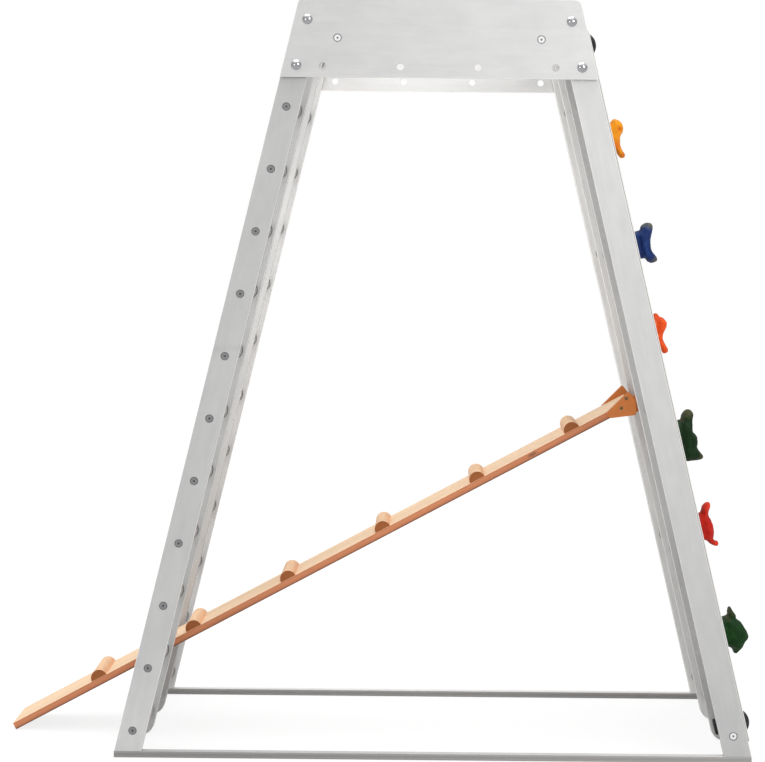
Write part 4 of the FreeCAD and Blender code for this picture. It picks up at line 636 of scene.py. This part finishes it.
def sculpt(name, step, centre, width, side, narrow, dents, lobes, main, vein, lobe, slot_name):
    """A hand-shaped hold: the silhouette swells to full width in its middle, with
    dents, lumps and a counterbore for the bolt."""
    key = name if name in OUTLINES else "hold_far"
    line = curve_through([(p, q - centre) for p, q in OUTLINES[key]])
    a, b = line[:-1], line[1:]
    g = 1.25
    ni = int(line[:, 0].max() / g) + 3
    q_lo, q_hi = line[:, 1].min(), line[:, 1].max()
    q0 = q_lo - 2 * g
    nj = int((q_hi - q_lo) / g) + 6
    P, Q = np.meshgrid(np.arange(ni) * g, q0 + np.arange(nj) * g, indexing="ij")
    pts = np.stack([P.ravel(), Q.ravel()], -1)
    ab = b - a
    u = ((pts[:, None, :] - a[None]) * ab[None]).sum(-1) / np.maximum((ab * ab).sum(-1), 1e-9)[None]
    near = a[None] + np.clip(u, 0, 1)[..., None] * ab[None]
    dist = np.sqrt(((pts[:, None, :] - near) ** 2).sum(-1))
    best = dist.argmin(1)
    rows = np.arange(len(pts))
    d = dist[rows, best]
    foot = near[rows, best]
    poly = np.vstack([line, line[:1]])
    x, y = pts[:, 0] + 1e-6, pts[:, 1]
    inside = np.zeros(len(pts), bool)
    for (x0, y0), (x1, y1) in zip(poly[:-1], poly[1:]):
        hit = (y0 > y) != (y1 > y)
        xc = x0 + (y - y0) / ((y1 - y0) if abs(y1 - y0) > 1e-12 else 1e-12) * (x1 - x0)
        inside ^= hit & (x < xc)
    sd = np.where(inside, d, -d)
    rim = np.abs(sd) < 0.55 * g
    keep = (sd >= 0.55 * g) | rim
    pos = np.where(rim[:, None], foot, pts)
    depth = np.where(rim, 0.0, np.maximum(sd, 0.0))
    mid, half = 0.5 * (q_lo + q_hi), 0.5 * (q_hi - q_lo)
    reach = 15.0
    t = np.clip(depth / reach, 0, 1)
    swell = np.sqrt(1 - (1 - t) ** 2)
    env = np.sqrt(np.clip(1 - np.abs((pos[:, 1] - mid) / (1.13 * half)) ** 2.6, 0, 1))
    base = narrow + (1 - narrow) * np.clip((pos[:, 0] - 14.0) / 8.0, 0, 1)
    h = 0.5 * width * swell * env * base
    for dp, dq, dd, dr in dents:
        r2 = (pos[:, 0] - dp) ** 2 + (pos[:, 1] - (dq - centre)) ** 2
        h = np.maximum(h - dd * np.exp(-r2 / (dr * dr)), np.where(rim, 0.0, 0.6))
    lobe_w = np.zeros(len(pts))
    for lp, lq, lr in lobes:
        r = np.sqrt((pos[:, 0] - lp) ** 2 + (pos[:, 1] - (lq - centre)) ** 2)
        lobe_w = np.maximum(lobe_w, np.clip(1.35 - r / lr, 0, 1))

    bm = bmesh.new()
    lay = bm.verts.layers.float.new("lobe")
    sway = lambda q: 2.2 * math.sin(q / 23.0 + step * 1.7)
    ids = {}
    for s_ in (1, -1):
        for n in np.nonzero(keep)[0]:
            if rim[n] and (1, n) in ids:
                ids[(s_, n)] = ids[(1, n)]
                continue
            v = bm.verts.new((pos[n, 0], s_ * h[n] + sway(pos[n, 1]), pos[n, 1]))
            v[lay] = lobe_w[n]
            ids[(s_, n)] = v

    def face(vs):
        u_ = []
        for v in vs:
            if v not in u_:
                u_.append(v)
        if len(u_) >= 3:
            try:
                bm.faces.new(u_)
            except ValueError:
                pass

    for i in range(ni - 1):
        for j in range(nj - 1):
            c = [i * nj + j, (i + 1) * nj + j, (i + 1) * nj + j + 1, i * nj + j + 1]
            c = [n for n in c if keep[n]]
            if len(c) < 3 or all(rim[n] for n in c):
                continue
            face([ids[(1, n)] for n in c])
            face([ids[(-1, n)] for n in reversed(c)])
    for j in range(nj - 1):
        if keep[j] and keep[j + 1]:
            face([ids[(1, j)], ids[(1, j + 1)], ids[(-1, j + 1)], ids[(-1, j)]])
    bmesh.ops.recalc_face_normals(bm, faces=bm.faces)
    for _ in range(2):
        bmesh.ops.smooth_vert(bm, verts=[v for v in bm.verts if v.co.x > 0.9], factor=0.35,
                              use_axis_x=True, use_axis_y=True, use_axis_z=True)
    bm.normal_update()
    shift = []
    for v in bm.verts:
        q_ = Vector((v.co.x + 31.0 * step, v.co.y, v.co.z + 17.0 * side))
        lump = 0.9 * noise.noise(q_ / 15.0) + 0.45 * noise.noise(q_ / 5.5)
        shift.append(v.normal * lump * min(max((v.co.x - 1.0) / 6.0, 0.0), 1.0))
    for v, m in zip(bm.verts, shift):
        v.co += m
    for v in bm.verts:
        p, y_, q = v.co
        v.co = (0.001 * p, 0.001 * y_, 0.001 * q)
    me = bpy.data.meshes.new(name + "_cast")
    bm.to_mesh(me)
    bm.free()
    for f in me.polygons:
        f.use_smooth = True
    ell = (0.292 + step * 0.2368 - 0.0315 * ST) / CT + 0.001 * centre
    org = CX + 0.754 + math.tan(LEAN) * 0.015 - 0.063 / CT
    at = Vector((org + 0.069 * CT - ell * ST, side * 0.259, 0.069 * ST + ell * CT))
    turn = Matrix(((CT, 0, -ST), (0, 1, 0), (ST, 0, CT))).to_4x4()
    o = bpy.data.objects.new(name + "_cast", me)
    sc_ = bpy.context.scene.collection
    sc_.objects.link(o)
    # counterbore down to the bolt's seat
    cm = bpy.data.meshes.new("bore")
    cb = bmesh.new()
    bmesh.ops.create_cone(cb, cap_ends=True, segments=32, radius1=0.0092, radius2=0.0104, depth=0.075)
    cb.to_mesh(cm)
    cb.free()
    cut = bpy.data.objects.new("bore", cm)
    sc_.objects.link(cut)
    cut.matrix_world = Matrix.Translation((0.012 + 0.0375, 0, 0)) @ Matrix.Rotation(math.radians(90), 4, "Y")
    m = o.modifiers.new("bore", "BOOLEAN")
    m.operation, m.solver, m.object = "DIFFERENCE", "EXACT", cut
    bpy.context.view_layer.update()
    dg = bpy.context.evaluated_depsgraph_get()
    done = bpy.data.meshes.new_from_object(o.evaluated_get(dg))
    o.modifiers.clear()
    o.data = done
    bpy.data.objects.remove(cut)
    o.data.transform(turn)
    o.data.transform(Matrix.Translation(at))
    o.data.materials.clear()
    o.data.materials.append(resin("cast_" + name, srgb(*main), srgb(*vein), srgb(*lobe), seed=1.0 + step))
    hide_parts(name)
    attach(o, "frame")
    return o


for n, spec in HOLDS.items():
    sculpt(n, *spec)

# ---------------------------------------------------------------------------
# Stage: floor, light, camera
# ---------------------------------------------------------------------------
sc = bpy.context.scene


def stage_material(name, value):
    """Seamless white floor: soft contact shadows only, and dim in metal reflections."""
    t = Tree(name)
    n = t.noise(t.position(), 3.0, 2.0, 0.5)
    v = t.math("MULTIPLY_ADD", n, 0.01, value)
    t.finish(t.combine(v, v, v), 0.9, spec=0.1)
    path = t.node("ShaderNodeLightPath")
    glow = t.node("ShaderNodeEmission")
    glow.inputs[0].default_value = (1.0, 1.0, 1.0, 1.0)
    glow.inputs[1].default_value = 1.04
    dim = t.node("ShaderNodeEmission")
    dim.inputs[0].default_value = (0.20, 0.20, 0.21, 1.0)
    eye = t.node("ShaderNodeMixShader")
    t.put(eye.inputs[0], t.math("MULTIPLY", path.outputs["Is Camera Ray"], 0.80))
    t.put(eye.inputs[1], t.bsdf.outputs[0])
    t.put(eye.inputs[2], glow.outputs[0])
    gloss = t.node("ShaderNodeMixShader")
    t.put(gloss.inputs[0], t.math("MULTIPLY", path.outputs["Is Glossy Ray"], 0.85))
    t.put(gloss.inputs[1], eye.outputs[0])
    t.put(gloss.inputs[2], dim.outputs[0])
    t.nt.links.new(gloss.outputs[0], t.out.inputs[0])
    return t.mat


me = bpy.data.meshes.new("floor")
R = 40.0
me.from_pydata([(-R, -R, -0.0005), (R, -R, -0.0005), (R, R, -0.0005), (-R, R, -0.0005)], [], [(0, 1, 2, 3)])
floor = bpy.data.objects.new("floor", me)
sc.collection.objects.link(floor)
me.materials.append(stage_material("floor_white", 0.93))

world = bpy.data.worlds.new("world")
sc.world = world
world.use_nodes = True
wt = world.node_tree
wt.nodes.clear()
w_out = wt.nodes.new("ShaderNodeOutputWorld")
w_mix = wt.nodes.new("ShaderNodeMixShader")
w_white = wt.nodes.new("ShaderNodeBackground")       # what the camera and the wood see
w_white.inputs[0].default_value = (1.0, 1.0, 1.0, 1.0)
w_white.inputs[1].default_value = 1.0
w_room = wt.nodes.new("ShaderNodeBackground")        # what shiny metal reflects: a dim studio
w_path = wt.nodes.new("ShaderNodeLightPath")
w_geo = wt.nodes.new("ShaderNodeTexCoord")
w_sep = wt.nodes.new("ShaderNodeSeparateXYZ")
w_ramp = wt.nodes.new("ShaderNodeValToRGB")
cr = w_ramp.color_ramp
cr.elements[0].position, cr.elements[0].color = 0.42, (0.62, 0.62, 0.63, 1)
cr.elements[1].position, cr.elements[1].color = 1.0, (0.85, 0.85, 0.86, 1)
e = cr.elements.new(0.52)
e.color = (0.20, 0.20, 0.21, 1)
e = cr.elements.new(0.78)
e.color = (0.34, 0.34, 0.35, 1)
w_half = wt.nodes.new("ShaderNodeMath")
w_half.operation = "MULTIPLY_ADD"
w_half.inputs[1].default_value = 0.5
w_half.inputs[2].default_value = 0.5
wt.links.new(w_geo.outputs["Generated"], w_sep.inputs[0])
wt.links.new(w_sep.outputs[2], w_half.inputs[0])
wt.links.new(w_half.outputs[0], w_ramp.inputs[0])
wt.links.new(w_ramp.outputs[0], w_room.inputs[0])
wt.links.new(w_path.outputs["Is Glossy Ray"], w_mix.inputs[0])
wt.links.new(w_white.outputs[0], w_mix.inputs[1])
wt.links.new(w_room.outputs[0], w_mix.inputs[2])
wt.links.new(w_mix.outputs[0], w_out.inputs[0])


def area(name, loc, target, size, power, color=(1, 1, 1)):
    ld = bpy.data.lights.new(name, "AREA")
    ld.shape = "RECTANGLE"
    ld.size, ld.size_y = size
    ld.energy = power
    ld.color = color
    o = bpy.data.objects.new(name, ld)
    sc.collection.objects.link(o)
    o.location = loc
    o.rotation_euler = (Vector(target) - Vector(loc)).to_track_quat("-Z", "Y").to_euler()
    return o


area("key_right", (CX + 2.0, -3.5, 2.7), (CX + 0.5, -0.3, 1.5), (1.2, 1.2), 26.0)
area("top_soft", (CX - 0.5, 0.0, 4.4), (CX - 0.5, 0.0, 0.0), (3.2, 3.2), 62.0)
area("fill_left", (CX - 2.6, -4.0, 1.9), (CX - 0.3, 0.0, 0.9), (1.0, 1.0), 9.0)

cam_data = bpy.data.cameras.new("camera")
cam = bpy.data.objects.new("camera", cam_data)
sc.collection.objects.link(cam)
sc.camera = cam
cam_data.sensor_width = 36.0
cam_data.lens = 2586.0 / 765.0 * 36.0
cam_data.clip_start, cam_data.clip_end = 0.1, 200.0
cam.location = (CX - 0.024, -6.513, 1.336)
cam.rotation_mode = "XYZ"
cam.rotation_euler = (math.radians(90.0), -0.0095, 0.0)
SHIFT = {"shift_x": -(427.85 - 382.5) / 765.0, "shift_y": -(381.0 - 195.0) / 765.0}
for name, value in SHIFT.items():
    # the lens shift belongs to this camera's own stance, read from its rotation
    # mode: any other view that turns the camera gets a centred lens
    fc = cam_data.driver_add(name)
    d = fc.driver
    d.type = "SUM"
    var = d.variables.new()
    var.type = "SINGLE_PROP"
    var.targets[0].id_type = "OBJECT"
    var.targets[0].id = cam
    var.targets[0].data_path = "rotation_mode"
    m = fc.modifiers.new("GENERATOR") if not fc.modifiers else fc.modifiers[0]
    m.mode = "POLYNOMIAL"
    m.poly_order = 1
    m.coefficients = (0.0, value)

sc.view_settings.view_transform = "Standard"
sc.view_settings.look = "None"
sc.view_settings.exposure = 0.0
